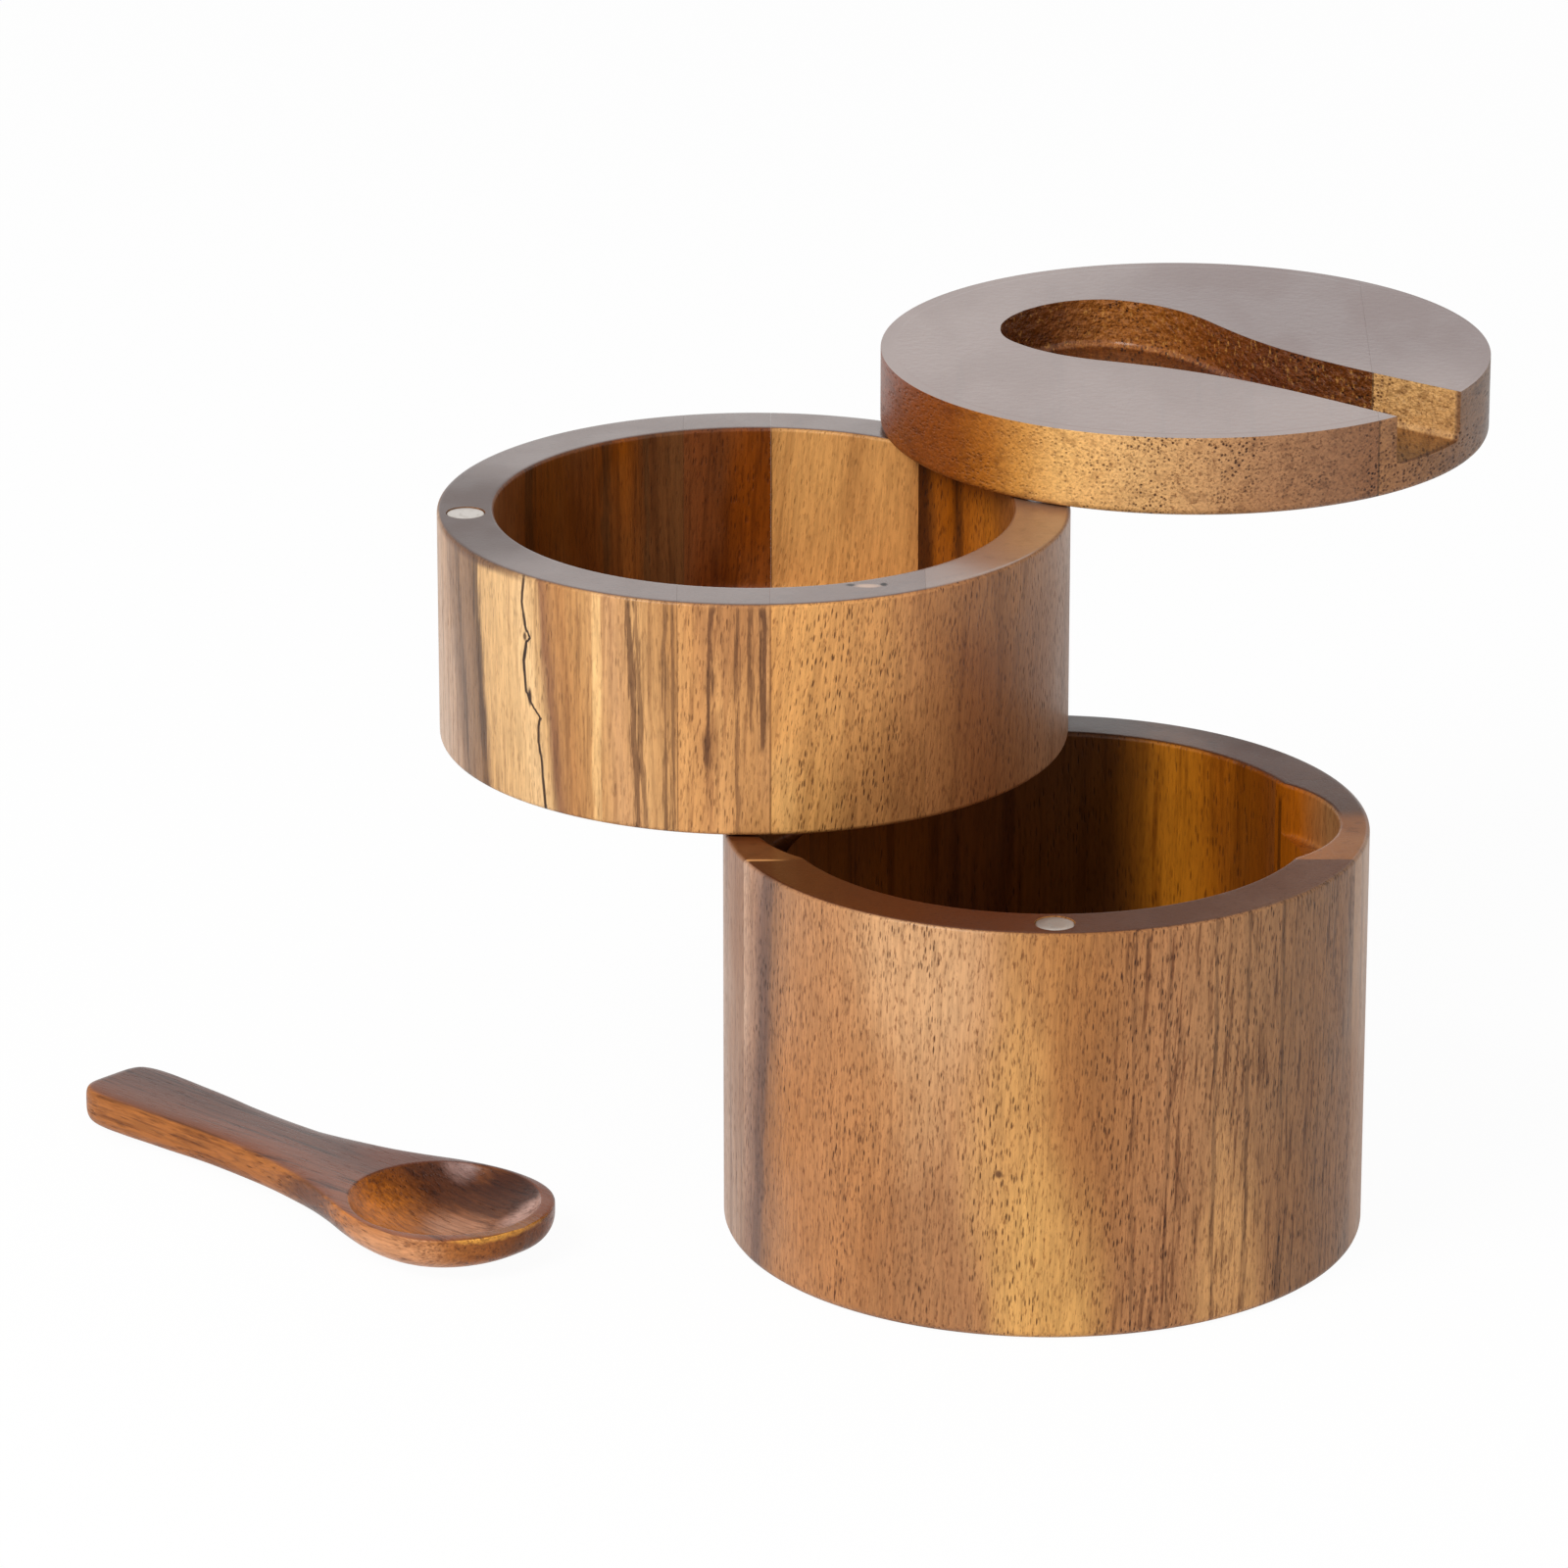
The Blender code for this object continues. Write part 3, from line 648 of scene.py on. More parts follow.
def cutBore(blank, face, facesUp, centre):
    # The pin is seated in the face that looks up and reaches into the one that looks down.
    gap, clear = fittings["pinGap"], fittings["clear"]
    if facesUp:
        low, high = face - fittings["pinSeat"] - gap, face + clear
    else:
        low, high = face - clear, face + fittings["pinReach"] + gap
    cutAway(blank, holeMesh(fittings["pinRadius"] + gap, low, high, centre))


def towards(centre, away):
    # The place on a tier's wall opposite the pivot (away 1) or at it (away -1), at height 0.
    step = (centre[:2] - pivot) / np.linalg.norm(centre[:2] - pivot)
    return np.append(centre[:2] + step * layout["pivotRadius"] * away, 0.0)


def metalMaterial(name, look, middle):
    # Bright metal with fine turned lines round the disc's own middle and light wear.
    material = bpy.data.materials.new(name)
    tree = startTree(material)
    place = placeInMm(tree, middle)[0]
    parts = separate(place)
    radius = vectorMath("LENGTH", combine(tree, parts[0], parts[1]))
    ring = noise(combine(tree, times(radius, look["ringCount"])), 2.0)[0]
    worn = remap(noise(place, 5.0, scale=0.9)[0], 0.5, 0.7)
    edge = remap(radius, look["edge"] - 0.5, look["edge"])
    colour = paint(times(worn, 0.5), linear(look["bright"]), look["dull"])
    colour = paint(times(edge, 0.45), colour, look["edgeTone"])
    rough = timesPlus(worn, 0.12, timesPlus(ring, 0.18, look["roughness"]))
    bump = joinNode("Bump", {"Height": ring, "Strength": 0.25, "Distance": 0.00003})
    shader = addNode(tree, "BsdfPrincipled", {
        "Base Color": colour, "Metallic": 1.0, "Roughness": rough, "Normal": bump.outputs[0],
    })
    addNode(tree, "OutputMaterial", {"Surface": shader.outputs[0]})
    return material


def addRod(name, kind, body, slot, centre, level, profile):
    mesh = turnedMesh(name, profile, fittings["steps"], centre)
    smoothShade(mesh)
    material = metalMaterial(name + " " + slot, fittings[slot], (centre[0], centre[1], level))
    finishPiece(addToScene(name + kind, mesh), name, body, material)


def addMagnet(name, body, centre, face, facesUp):
    gap, thickness = fittings["magnetGap"], fittings["magnetThickness"]
    low = face - gap - thickness if facesUp else face + gap
    profile = rodProfile(fittings["magnetRadius"], low, low + thickness, fittings["magnetChamfer"])
    addRod(name, "_disc", body, "nickel", centre, low, profile)


def addPin(name, body, centre, rim):
    high = rim + layout["tierGap"] + fittings["pinReach"]
    profile = rodProfile(fittings["pinRadius"], rim - fittings["pinSeat"], high, fittings["pinChamfer"])
    addRod(name, "_rod", body, "steel", centre, rim, profile)


def fitOut(body, blank, looks, suffix, seams, across, grain, magnets, pin=None):
    # Cuts a tier's pockets and bores, slices it into boards and sets in its magnets and its pin.
    # magnets gives each one's face (height, whether it looks up); every such face has a bore too.
    centre = grain[0]
    front, back = towards(centre, 1), towards(centre, -1)
    for cut, place in ((cutPocket, front), (cutBore, back)):
        for face, facesUp in magnets.values():
            cut(blank, face, facesUp, place)
    pieces = sliceBoards(blank, [node + suffix for node in looks], seams, across, centre)
    for piece, (node, look) in zip(pieces, looks.items()):
        finishPiece(piece, node, body, woodMaterial(node + " wood", look, grain))
    for name, (face, facesUp) in magnets.items():
        addMagnet(name, body, front, face, facesUp)
    if pin:
        addPin(pin, body, back, max(face for face, facesUp in magnets.values()))


# Base bowl

base = {
    "height": 66.0, "floor": 9.0, "footRadius": 1.6, "rimRadius": 0.7, "coveRadius": 3.5,
    "scallopRadius": 21.7, "scallopBite": 4.3, "scallopDepth": 8.4, "scallopCove": 1.0,
    "seams": (-17.75, 18.6),  # places along Y
}


def bowlRows(look, turn, centre, scallops):
    # A bowl of revolution: a row is one circle, and its radius may change with the angle. The inner
    # radius above the ledge is the larger of the cavity's and the scallop circle's, which is
    # c cos(a) + sqrt(r squared minus (c sin(a)) squared) at angle a from the side.
    outer, inner = layout["outerRadius"], layout["innerRadius"]
    height, floor, rim, cove, foot = (look[k] for k in ("height", "floor", "rimRadius", "coveRadius", "footRadius"))
    columns = layout["columns"]
    angle = np.linspace(0, 2 * np.pi, columns, endpoint=False)
    wall = np.full(columns, inner)
    if scallops:
        radius = look["scallopRadius"]
        offset = inner + look["scallopBite"] - radius
        meet = math.acos((inner**2 + offset**2 - radius**2) / (2 * inner * offset))
        # the columns next to a scallop's corners move onto them
        for corner in (meet, np.pi - meet, np.pi + meet, 2 * np.pi - meet):
            angle[np.argmin(np.abs(angle - corner))] = corner
        side = np.abs(np.cos(angle))
        bulge = offset * side + np.sqrt(np.maximum(radius**2 - (offset * np.sin(angle)) ** 2, 0))
        wall = np.maximum(inner, np.where(side > math.cos(meet) - 1e-9, bulge, inner))
    rows = []

    def add(radius, level):
        rows.append((np.broadcast_to(radius, columns), np.broadcast_to(level, columns)))

    def addArc(radius, level, size, turns):
        # a quarter round of this size whose middle is at (radius, level)
        for a in turns:
            add(radius + size * math.cos(a), level + size * math.sin(a))

    for radius in np.linspace(2, inner - cove, 7):
        add(radius, floor)
    addArc(inner - cove, floor + cove, cove, arcRow(-90, 0, 8)[1:])
    ledge = height - look["scallopDepth"] if scallops else height - 6
    for level in np.linspace(floor + cove, ledge, 7)[1:]:
        add(inner, level)
    if scallops:
        small = np.minimum(look["scallopCove"], wall - inner)
        for i, share in enumerate(np.linspace(0, 1, 4)[1:]):
            add(inner + (wall - small - inner) * share, np.where(wall > inner + 1e-6, ledge, ledge + 0.05 * i))
        for a in arcRow(-90, 0, 4)[1:]:
            lift = look["scallopCove"] * (1 + math.sin(a))
            level = np.where(wall > inner + 1e-6, ledge + small * (1 + math.sin(a)), ledge + 0.2 + lift)
            add(wall - small + small * math.cos(a), level)
    for level in np.linspace(ledge + (1.6 if scallops else 2), height - rim, 4):
        add(wall, level)
    addArc(wall + rim, height - rim, rim, arcRow(180, 90, 5)[1:])
    for share in (0.06, 0.35, 0.65, 0.94):
        add(wall + rim + (outer - rim - wall - rim) * share, height)
    addArc(outer - rim, height - rim, rim, arcRow(90, 0, 5))
    for level in np.linspace(height - rim, foot, 12)[1:-1]:
        add(outer, level)
    addArc(outer - foot, foot, foot, arcRow(0, -90, 6))
    for radius in np.linspace(outer - foot - 1, 2, 6):
        add(radius, 0.0)
    radius = np.array([row[0] for row in rows])
    level = np.array([row[1] for row in rows])
    points = np.stack([radius * np.cos(angle), radius * np.sin(angle), level], axis=-1)
    return placed(points, turn, centre)


baseWood = {
    "span": (-50, 50), "fibre": 0.09, "topFrom": 64.4,
}
baseLooks = {
    "base_front_board": {
        **baseWood, "slot": "golden_acacia", "lean": -0.03,
        "bands": (
            (-50, 226, 194, 168), (-47.4, 178, 138, 112), (-45.4, 118, 86, 72), (-43.8, 148, 106, 76),
            (-41, 186, 134, 92), (-34, 190, 136, 90), (-28, 188, 134, 86), (-20, 194, 144, 98),
            (-13, 196, 144, 98), (-8, 194, 140, 84), (-1, 180, 122, 66), (4, 170, 114, 62),
            (10, 172, 118, 72), (16, 182, 128, 84), (24, 178, 128, 84), (32, 158, 114, 76),
            (40, 136, 98, 66), (50, 126, 96, 74),
        ),
        "patches": (
            patch((-34, -40, 22), (15, 50, 36), (178, 112, 56), 0.4, 5),
            patch((-19, -44, 8), (15, 44, 30), (140, 88, 50), 0.55, 1.6, 0.8),
            # painted sheen: a pale reflection high on the left of the wall
            patch((-20, -46, 60), (14, 44, 24), (236, 190, 142), 0.4, 8, 0.3),
            patch((-7, -50, 30), (9, 44, 32), (228, 174, 100), 0.4, 6, 0.4),
            patch((-0.5, -50, 4), (11, 44, 34), (240, 188, 108), 0.62, 4, 0.4),
            patch((5.5, -50, 36), (7, 44, 36), (140, 86, 44), 0.3, 2, 0.6),
            patch((27, -42, 0), (8, 40, 38), (232, 176, 112), 0.7, ragged=0.6),
            patch((-8.2, -49.5, 27), (0.8, 4, 0.9), (74, 44, 26), 0.9, ragged=0.2),
        ),
        "lines": (
            line(-44.9, 1, 2, 0, (104, 76, 64), 0.6, lean=-0.03),
            line(12, 0.35, 1, 1.8, (96, 60, 36), 0.5, 2),
            line(17.4, 0.3, 1.2, 1.6, (90, 60, 38), 0.45, 4),
            line(24.5, 0.35, 1.2, 1.8, (84, 56, 38), 0.5, 7),
            line(29.5, 0.35, 1.2, 1.8, (84, 56, 38), 0.5, 8),
            line(35, 0.4, 1.2, 1.8, (72, 50, 36), 0.5, 9),
        ),
        "cloudTone": (168, 110, 62), "streaks": 0.85, "streakZone": (2, 16, 0.25), "streakGap": 0.75,
        "streakLength": 16, "pores": 0.9, "poreGap": 0.4, "poreLength": 2.2, "poreTint": (100, 72, 56),
        "fibre": 0.12, "slant": -0.05, "specular": 0.2,
        "topBands": (
            (-50, 74, 26, 0), (-30, 92, 36, 2), (-4, 104, 46, 6), (2, 96, 56, 38), (14, 100, 68, 54),
            (34, 126, 90, 70), (50, 128, 92, 76),
        ),
        "topDark": (86, 42, 14), "topAmount": 0.97, "topCoat": 0.08, "topStreaks": 0.35,
        "topMarks": (topMarkOrShade((-46, -18.1, 66), (7, 0.75, 3), (226, 168, 108), ragged=0.1),),
    },
    "base_middle_board": {
        **baseWood, "slot": "amber_acacia",
        "bands": (
            (-50, 190, 152, 124), (-44, 136, 92, 60), (-36, 144, 84, 28), (-20, 154, 92, 32),
            (0, 152, 92, 32), (18, 152, 84, 14), (31, 114, 56, 4), (35.4, 110, 54, 4), (37.6, 150, 78, 6),
            (41, 176, 94, 8), (46, 162, 116, 72), (50, 168, 124, 84),
        ),
        "lines": (line(37.2, 0.3, 0, 0, (60, 30, 8), 0.7, frontEdge=4, highest=64.5),),
        "cloudTone": (122, 66, 26), "clouds": 0.4, "streaks": 0.45, "flecks": 0.35, "poreLength": 2.5,
        "coat": 0.12,
        "topBands": (
            (-50, 92, 44, 12), (-36, 104, 50, 14), (30, 186, 120, 70), (42, 190, 126, 74),
            (50, 172, 116, 70),
        ),
        "topDark": (130, 76, 40), "topAmount": 0.95, "topCoat": 0.2, "topStreaks": 0.3,
        "topMarks": (
            topMarkOrShade((46, 8, 66), (16, 9, 4), (84, 58, 48), ragged=0.15),
            topMarkOrShade((42, 22, 66), (18, 20, 4), (84, 58, 48), ragged=0.15),
        ),
    },
    "base_back_board": {
        **baseWood, "slot": "walnut_acacia",
        "bands": (
            (-50, 116, 78, 50), (-30, 128, 72, 20), (-8, 104, 56, 14), (6, 100, 58, 16), (13, 98, 56, 14),
            (17, 156, 94, 22), (20, 212, 132, 32), (24, 208, 128, 28), (29, 166, 92, 14), (33, 132, 70, 8),
            (36, 126, 64, 8), (50, 140, 100, 70),
        ),
        "cloudTone": (84, 46, 20), "clouds": 0.4, "streakGap": 3.2, "flecks": 0.35, "poreGap": 0.45,
        "coat": 0.12, "topTone": (84, 58, 46), "topDark": (70, 46, 36), "topAmount": 0.8, "topCoat": 0.3,
        "topStreaks": 0.15, "topMarks": (topMarkOrShade((40, 28, 66), (18, 20, 20), (84, 58, 48), 0.6),),
    },
}


def buildBase():
    centre = np.array([0.0, 0.0, 0.0])
    blank = addToScene("base blank", meshFromGrid("base blank", bowlRows(base, 0.0, centre, True)))
    grain = (centre, (1.0, 0.0, 0.0), (0.0, 0.0, 1.0))
    magnets = {"base_rim_magnet": (base["height"], True)}
    fitOut("base", blank, baseLooks, "_turned", base["seams"], (0.0, 1.0), grain, magnets, "lower_pivot_pin")


# Upper bowl, called the tray

tray = {
    "height": 37.5, "floor": 8.0, "footRadius": 0.9, "rimRadius": 0.7, "coveRadius": 3.5,
    "seams": (-11.6, 2.6, 26.5),  # places along the board's across direction, which is world X at rest
}

trayWood = {
    "insideOf": 44, "backFrom": (-8, 6), "fibre": 0.1, "topFrom": 36, "insideCoat": 0.02,
}
outer = {"highest": 38.2, "backEdge": -6}  # a line on the outer wall alone
trayLooks = {
    "tray_front_board": {
        **trayWood, "slot": "sapwood", "span": (-50, -10), "lean": 0.07, "bandWander": 1.6,
        "bands": (
            (-50, 208, 178, 152), (-46, 186, 150, 122), (-45, 142, 110, 86), (-43, 146, 112, 84),
            (-41.3, 124, 92, 66), (-40.3, 216, 170, 114), (-36, 226, 182, 126), (-32.6, 236, 194, 140),
            (-31, 220, 174, 118), (-30, 142, 96, 64), (-29.3, 150, 102, 64), (-28.4, 182, 128, 76),
            (-27, 184, 128, 74), (-25.4, 190, 136, 80), (-23.2, 198, 146, 90), (-21.6, 206, 154, 100),
            (-19.8, 208, 156, 106), (-17.4, 202, 150, 98), (-15.8, 216, 164, 106), (-14, 204, 152, 96),
            (-10, 184, 130, 76),
        ),
        "backBands": (
            (-50, 108, 66, 34), (-40, 106, 50, 8), (-34, 104, 50, 4), (-30, 116, 62, 12), (-26, 100, 46, 2),
            (-22, 120, 60, 4), (-19, 146, 76, 4), (-16, 92, 40, 0), (-10, 80, 34, 0),
        ),
        "patches": (
            # painted shade on the rounded outer edge of the rim, at the left front
            patch((-44, -24, 37.4), (16, 26, 1.7), (104, 70, 48), 0.9, ragged=0.2),
            patch((-34.5, -36, 18), (0.42, 3, 2), (40, 18, 6), ragged=0.1),
            patch((-35.2, -35.5, 27.6), (0.4, 3, 1), (60, 32, 14), 0.9, ragged=0.1),
        ),
        "lines": (
            line(-35, 0.27, 0.4, 0.5, (34, 14, 4), 1, 3.2, open=True, backEdge=-6, highest=38.6, path=(
                (0, 2.9), (4.1, 2.6), (8, 2.3), (10.9, 1.8), (13.7, 1.85), (15, 2.2), (16.7, 0.9),
                (18.7, -0.1), (23.6, -0.4), (26.7, 0), (27.6, 0.6), (29.4, -0.2), (33.1, -0.6), (38, -0.3),
            )),
            line(-44.4, 0.35, 0.6, 2.4, (72, 50, 38), 0.55, 5, lean=0.05, highest=38.2),
            line(-41.7, 0.6, 0.6, 2, (76, 50, 32), 0.75, 6, lean=0.04, **outer),
            line(-24, 1, 0.4, 1.2, (244, 196, 132), 0.85, 7, **outer),
            line(-17.7, 0.7, 0.7, 2.8, (84, 50, 30), 0.8, 8, lean=0.04, **outer),
            line(-16.3, 0.5, 0.7, 2.6, (84, 50, 30), 0.6, 9, lean=0.05, **outer),
            line(-13.4, 0.5, 0.6, 2.6, (92, 56, 32), 0.65, 11, **outer),
            line(-12.2, 0.35, 0.6, 1.8, (92, 56, 32), 0.6, 12, **outer),
            line(-36, 0.9, 2, 2.4, (44, 22, 8), 0.6, 14, frontEdge=6),
            line(-24, 0.9, 2, 2.4, (48, 24, 8), 0.6, 15, frontEdge=6),
            line(-17.5, 0.6, 2, 1.6, (48, 24, 8), 0.6, 16, frontEdge=6),
        ),
        "cloudTone": (186, 132, 78), "clouds": 0.25, "streaks": 0.42, "streakGap": 1.2, "streakLength": 34,
        "flecks": 0.4, "pores": 0.35, "poreGap": 0.45, "poreWidth": 0.2, "fibre": 0.11,
        "topBands": ((-50, 74, 44, 28), (-44, 86, 54, 38), (-36, 102, 68, 52), (-10, 108, 74, 58)),
        "topDark": (92, 58, 44), "topMarks": (topMarkOrShade((-46, -6, 37), (26, 34, 30), (72, 38, 20), 0.65),),
    },
    "tray_second_board": {
        **trayWood, "slot": "streaked_acacia", "span": (-12, 3), "lean": 0.04, "bandWander": 1.4,
        "fray": 1.4,
        "bands": (
            (-12, 200, 142, 84), (-10, 222, 162, 98), (-8.2, 212, 152, 90), (-6.6, 206, 146, 88),
            (-5, 226, 166, 102), (-2.4, 216, 156, 94), (0.5, 214, 154, 92), (3, 218, 158, 98),
        ),
        "backBands": (
            (-12, 92, 38, 0), (-8, 112, 48, 0), (-4, 98, 42, 0), (-1, 136, 66, 6), (3, 128, 62, 6),
        ),
        "patches": (patch((-3, -45, 36), (7, 30, 17), (150, 94, 54), 0.55, 2, 0.8),),
        "lines": (
            line(-7.4, 0.6, 0.8, 2.8, (84, 46, 24), 0.85, 3, lean=-0.03, lowest=10, **outer),
            line(-2.4, 0.5, 0.6, 2.6, (96, 58, 32), 0.6, 5, **outer),
            line(-0.4, 0.5, 0.6, 2.6, (84, 48, 26), 0.7, 6, lowest=16, **outer),
            line(1.5, 0.7, 0.6, 2.8, (74, 42, 24), 0.9, 9, lowest=13, **outer),
            line(-11.55, 0.16, 0, 0, (84, 48, 26), 0.55, highest=38.2),
        ),
        "cloudTone": (168, 112, 66), "clouds": 0.25, "streaks": 0.5, "streakGap": 1.2, "streakLength": 24,
        "flecks": 0.5, "poreLength": 2.3, "slant": -0.06, "topTone": (108, 75, 59), "topDark": (94, 61, 47),
    },
    "tray_third_board": {
        **trayWood, "slot": "honey_acacia", "span": (2, 28), "bandWander": 2.2, "fray": 1.8,
        "bands": (
            (2, 226, 160, 88), (5, 244, 180, 104), (10, 244, 180, 104), (16, 234, 170, 100),
            (21, 226, 162, 96), (24, 210, 146, 88), (28, 184, 124, 74),
        ),
        "backBands": (
            (2, 216, 156, 88), (8, 232, 172, 100), (20, 230, 170, 98), (25.5, 212, 152, 86),
            (28, 170, 110, 58),
        ),
        "backMarks": 0.35,
        "patches": (
            # painted shade low on the wall
            patch((20, -40, 0), (19, 34, 25), (128, 76, 34), 0.5),
            patch((4, -50, 6), (5, 20, 12), (255, 200, 124), 0.5, 2, 0.6),
        ),
        "lines": (line(2.72, 0.2, 0, 0, (76, 42, 22), 0.7, highest=38.2),), "cloudTone": (196, 130, 72),
        "clouds": 0.35, "streaks": 0.3, "flecks": 0.75, "pores": 0.85, "poreGap": 0.4, "poreLength": 2.2,
        "poreTint": (92, 64, 48), "fibre": 0.12, "slant": -0.12, "topTone": (112, 78, 61),
        "topDark": (98, 64, 49),
        "topMarks": (  # a small chip at the rim's inner edge
            topMarkOrShade((17.6, -40.6, 37.5), (2.7, 1.2, 1.5), (214, 172, 142), ragged=0.1),
            topMarkOrShade((15, -40.2, 37.5), (1, 0.8, 1.5), (30, 16, 12), 0.8, 0.1),
            topMarkOrShade((20.1, -39.9, 37.5), (0.8, 1.1, 1.5), (18, 8, 6), 0.9, 0.1),
        ),
    },
    "tray_back_board": {
        **trayWood, "slot": "amber_acacia", "span": (26, 50), "lean": 0.03, "bandWander": 2,
        # partly painted light: the wall darkens towards the right as painted shade, and the palest, greyest tone at
        # the far right edge is a painted reflection
        "bands": (
            (26, 200, 136, 80), (30, 182, 120, 68), (34, 158, 98, 54), (37, 150, 94, 54), (41, 152, 102, 64),
            (45, 160, 118, 86), (50, 172, 136, 108),
        ),
        "backBands": (
            (26, 62, 26, 2), (28.6, 72, 32, 3), (30, 160, 88, 12), (32.2, 156, 84, 8), (33.4, 80, 36, 2),
            (34.8, 178, 100, 14), (38, 190, 112, 22), (42, 130, 74, 24), (50, 130, 92, 62),
        ),
        "patches": (patch((36, -32, 38), (15, 30, 16), (204, 150, 100), 0.3, 4),),
        "cloudTone": (146, 90, 50), "streaks": 0.35, "flecks": 0.7, "pores": 0.85, "poreLength": 2.3,
        "poreWidth": 0.23, "slant": -0.1,
        # the rim's lighter tone on this board is partly a painted reflection
        "topBands": ((26, 116, 82, 64), (33, 164, 128, 104), (50, 178, 140, 112)), "topDark": (136, 98, 76),
        "topCoat": 1, "topStreaks": 0.2,
    },
}


def buildTray():
    blank = addToScene("tray blank", meshFromGrid("tray blank", bowlRows(tray, layout["trayTurn"], trayCentre, False)))
    grain = (trayCentre, (1.0, 0.0, 0.0), (0.0, 0.0, 1.0))
    magnets = {"tray_rim_magnet": (trayCentre[2] + tray["height"], True),
               "tray_underside_magnet": (trayCentre[2], False)}
    fitOut("tray", blank, trayLooks, "_turned", tray["seams"], (1.0, 0.0), grain, magnets, "upper_pivot_pin")


# Lid: a disc with a recess shaped like the spoon, open at the edge for the handle

lid = {
    "radius": 49.35, "thickness": 12.9, "footRadius": 1.2, "edgeRound": 0.45,
    "seam": 29.7, "seamAngle": -91.4,      # the seam's place across the boards and its direction
    "recessAngle": -39.8, "recessDepth": 8.1, "recessCove": 1.5, "recessEnd": 33.2, "recessHalf": 16.1,
    "lengthShares": (-1.0, -0.985, -0.93, -0.80, -0.62, -0.43, -0.26, -0.08, 0.14, 0.42, 0.76, 1.20, 1.60),
    "widthShares": (0.0, 0.26, 0.56, 0.85, 0.98, 1.0, 0.94, 0.815, 0.675, 0.56, 0.505, 0.513, 0.545),
    "mouthHalfAngle": 10.1,
}


def curveThrough(xs, ys, x):
    # Catmull-Rom: on each span the cubic whose end slopes are those of the chords either side.
    xs, ys = np.asarray(xs, dtype=float), np.asarray(ys, dtype=float)
    before = np.maximum(np.arange(len(xs)) - 1, 0)
    after = np.minimum(np.arange(len(xs)) + 1, len(xs) - 1)
    slope = (ys[after] - ys[before]) / (xs[after] - xs[before])
    i = np.clip(np.searchsorted(xs, x, side="right") - 1, 0, len(xs) - 2)
    span = xs[i + 1] - xs[i]
    t = (x - xs[i]) / span
    return ((2 * t**3 - 3 * t**2 + 1) * ys[i] + (t**3 - 2 * t**2 + t) * slope[i] * span
            + (3 * t**2 - 2 * t**3) * ys[i + 1] + (t**3 - t**2) * slope[i + 1] * span)


def inset(outline, amount):
    # Moves a closed plan outline (counterclockwise) inwards along the mean normal of its sides.
    step = np.roll(outline, -1, axis=0) - outline
    normal = np.stack([-step[:, 1], step[:, 0]], axis=1)
    normal /= np.linalg.norm(normal, axis=1)[:, None]
    mean = normal + np.roll(normal, 1, axis=0)
    mean /= np.linalg.norm(mean, axis=1)[:, None]
    share = np.clip((mean * normal).sum(axis=1), 0.5, 1.0)
    return outline + mean * (amount / share)[:, None]


def stackedMesh(name, outlines, levels):
    # Closed plan outlines one above the other, joined by quads, with one flat face at each end.
    rows = np.stack([np.column_stack([o, np.full(len(o), z)]) for o, z in zip(outlines, levels)])
    count, columns = rows.shape[:2]
    faces = ringFaces(count, columns)
    faces.append(list(range(columns))[::-1])
    faces.append(list(range((count - 1) * columns, count * columns)))
    return meshFromFaces(name, placed(rows, lid["recessAngle"], lidCentre).reshape(-1, 3), faces)


def lidDisc():
    # No column of the disc stands at the mouth's corners, so the corners can be rounded cleanly.
    mouth = lid["mouthHalfAngle"]
    angle = np.radians(np.concatenate([np.linspace(-mouth + 0.9, mouth - 0.9, 13),
                                       np.linspace(mouth + 1.1, 360 - mouth - 1.1, 240)]))
    circle = np.stack([np.cos(angle), np.sin(angle)], axis=1)
    foot = lid["footRadius"]
    turns = arcRow(-90, 0, 5)
    outlines = [circle * (lid["radius"] - foot + foot * math.cos(a)) for a in turns]
    levels = [foot + foot * math.sin(a) for a in turns]
    return stackedMesh("lid disc", [*outlines, circle * lid["radius"]], [*levels, lid["thickness"]])


def recessCutter():
    end = lid["recessEnd"]
    nose = -end * (1 - 0.015 * (1 - np.cos(np.linspace(0.35, 1.0, 8) * np.pi / 2)))
    body = np.concatenate([np.linspace(-0.975, -0.9, 8), np.linspace(-0.885, -0.6, 20),
                           np.linspace(-0.585, 1.43, 90)]) * end
    along = np.concatenate([nose, body, [end * 1.6]])
    half = curveThrough(np.array(lid["lengthShares"]) * end, np.array(lid["widthShares"]) * lid["recessHalf"], along)
    near, far = np.stack([along, -half], axis=1), np.stack([along, half], axis=1)[::-1]
    outline = np.concatenate([[[-end, 0.0]], near, far])
    floor, cove = lid["thickness"] - lid["recessDepth"], lid["recessCove"]
    turns = arcRow(-90, 0, 6)
    outlines = [inset(outline, cove * (1 - math.cos(a))) for a in turns]
    levels = [floor + cove * (1 + math.sin(a)) for a in turns]
    return stackedMesh("recess", [*outlines, outline], [*levels, lid["thickness"] + 4])


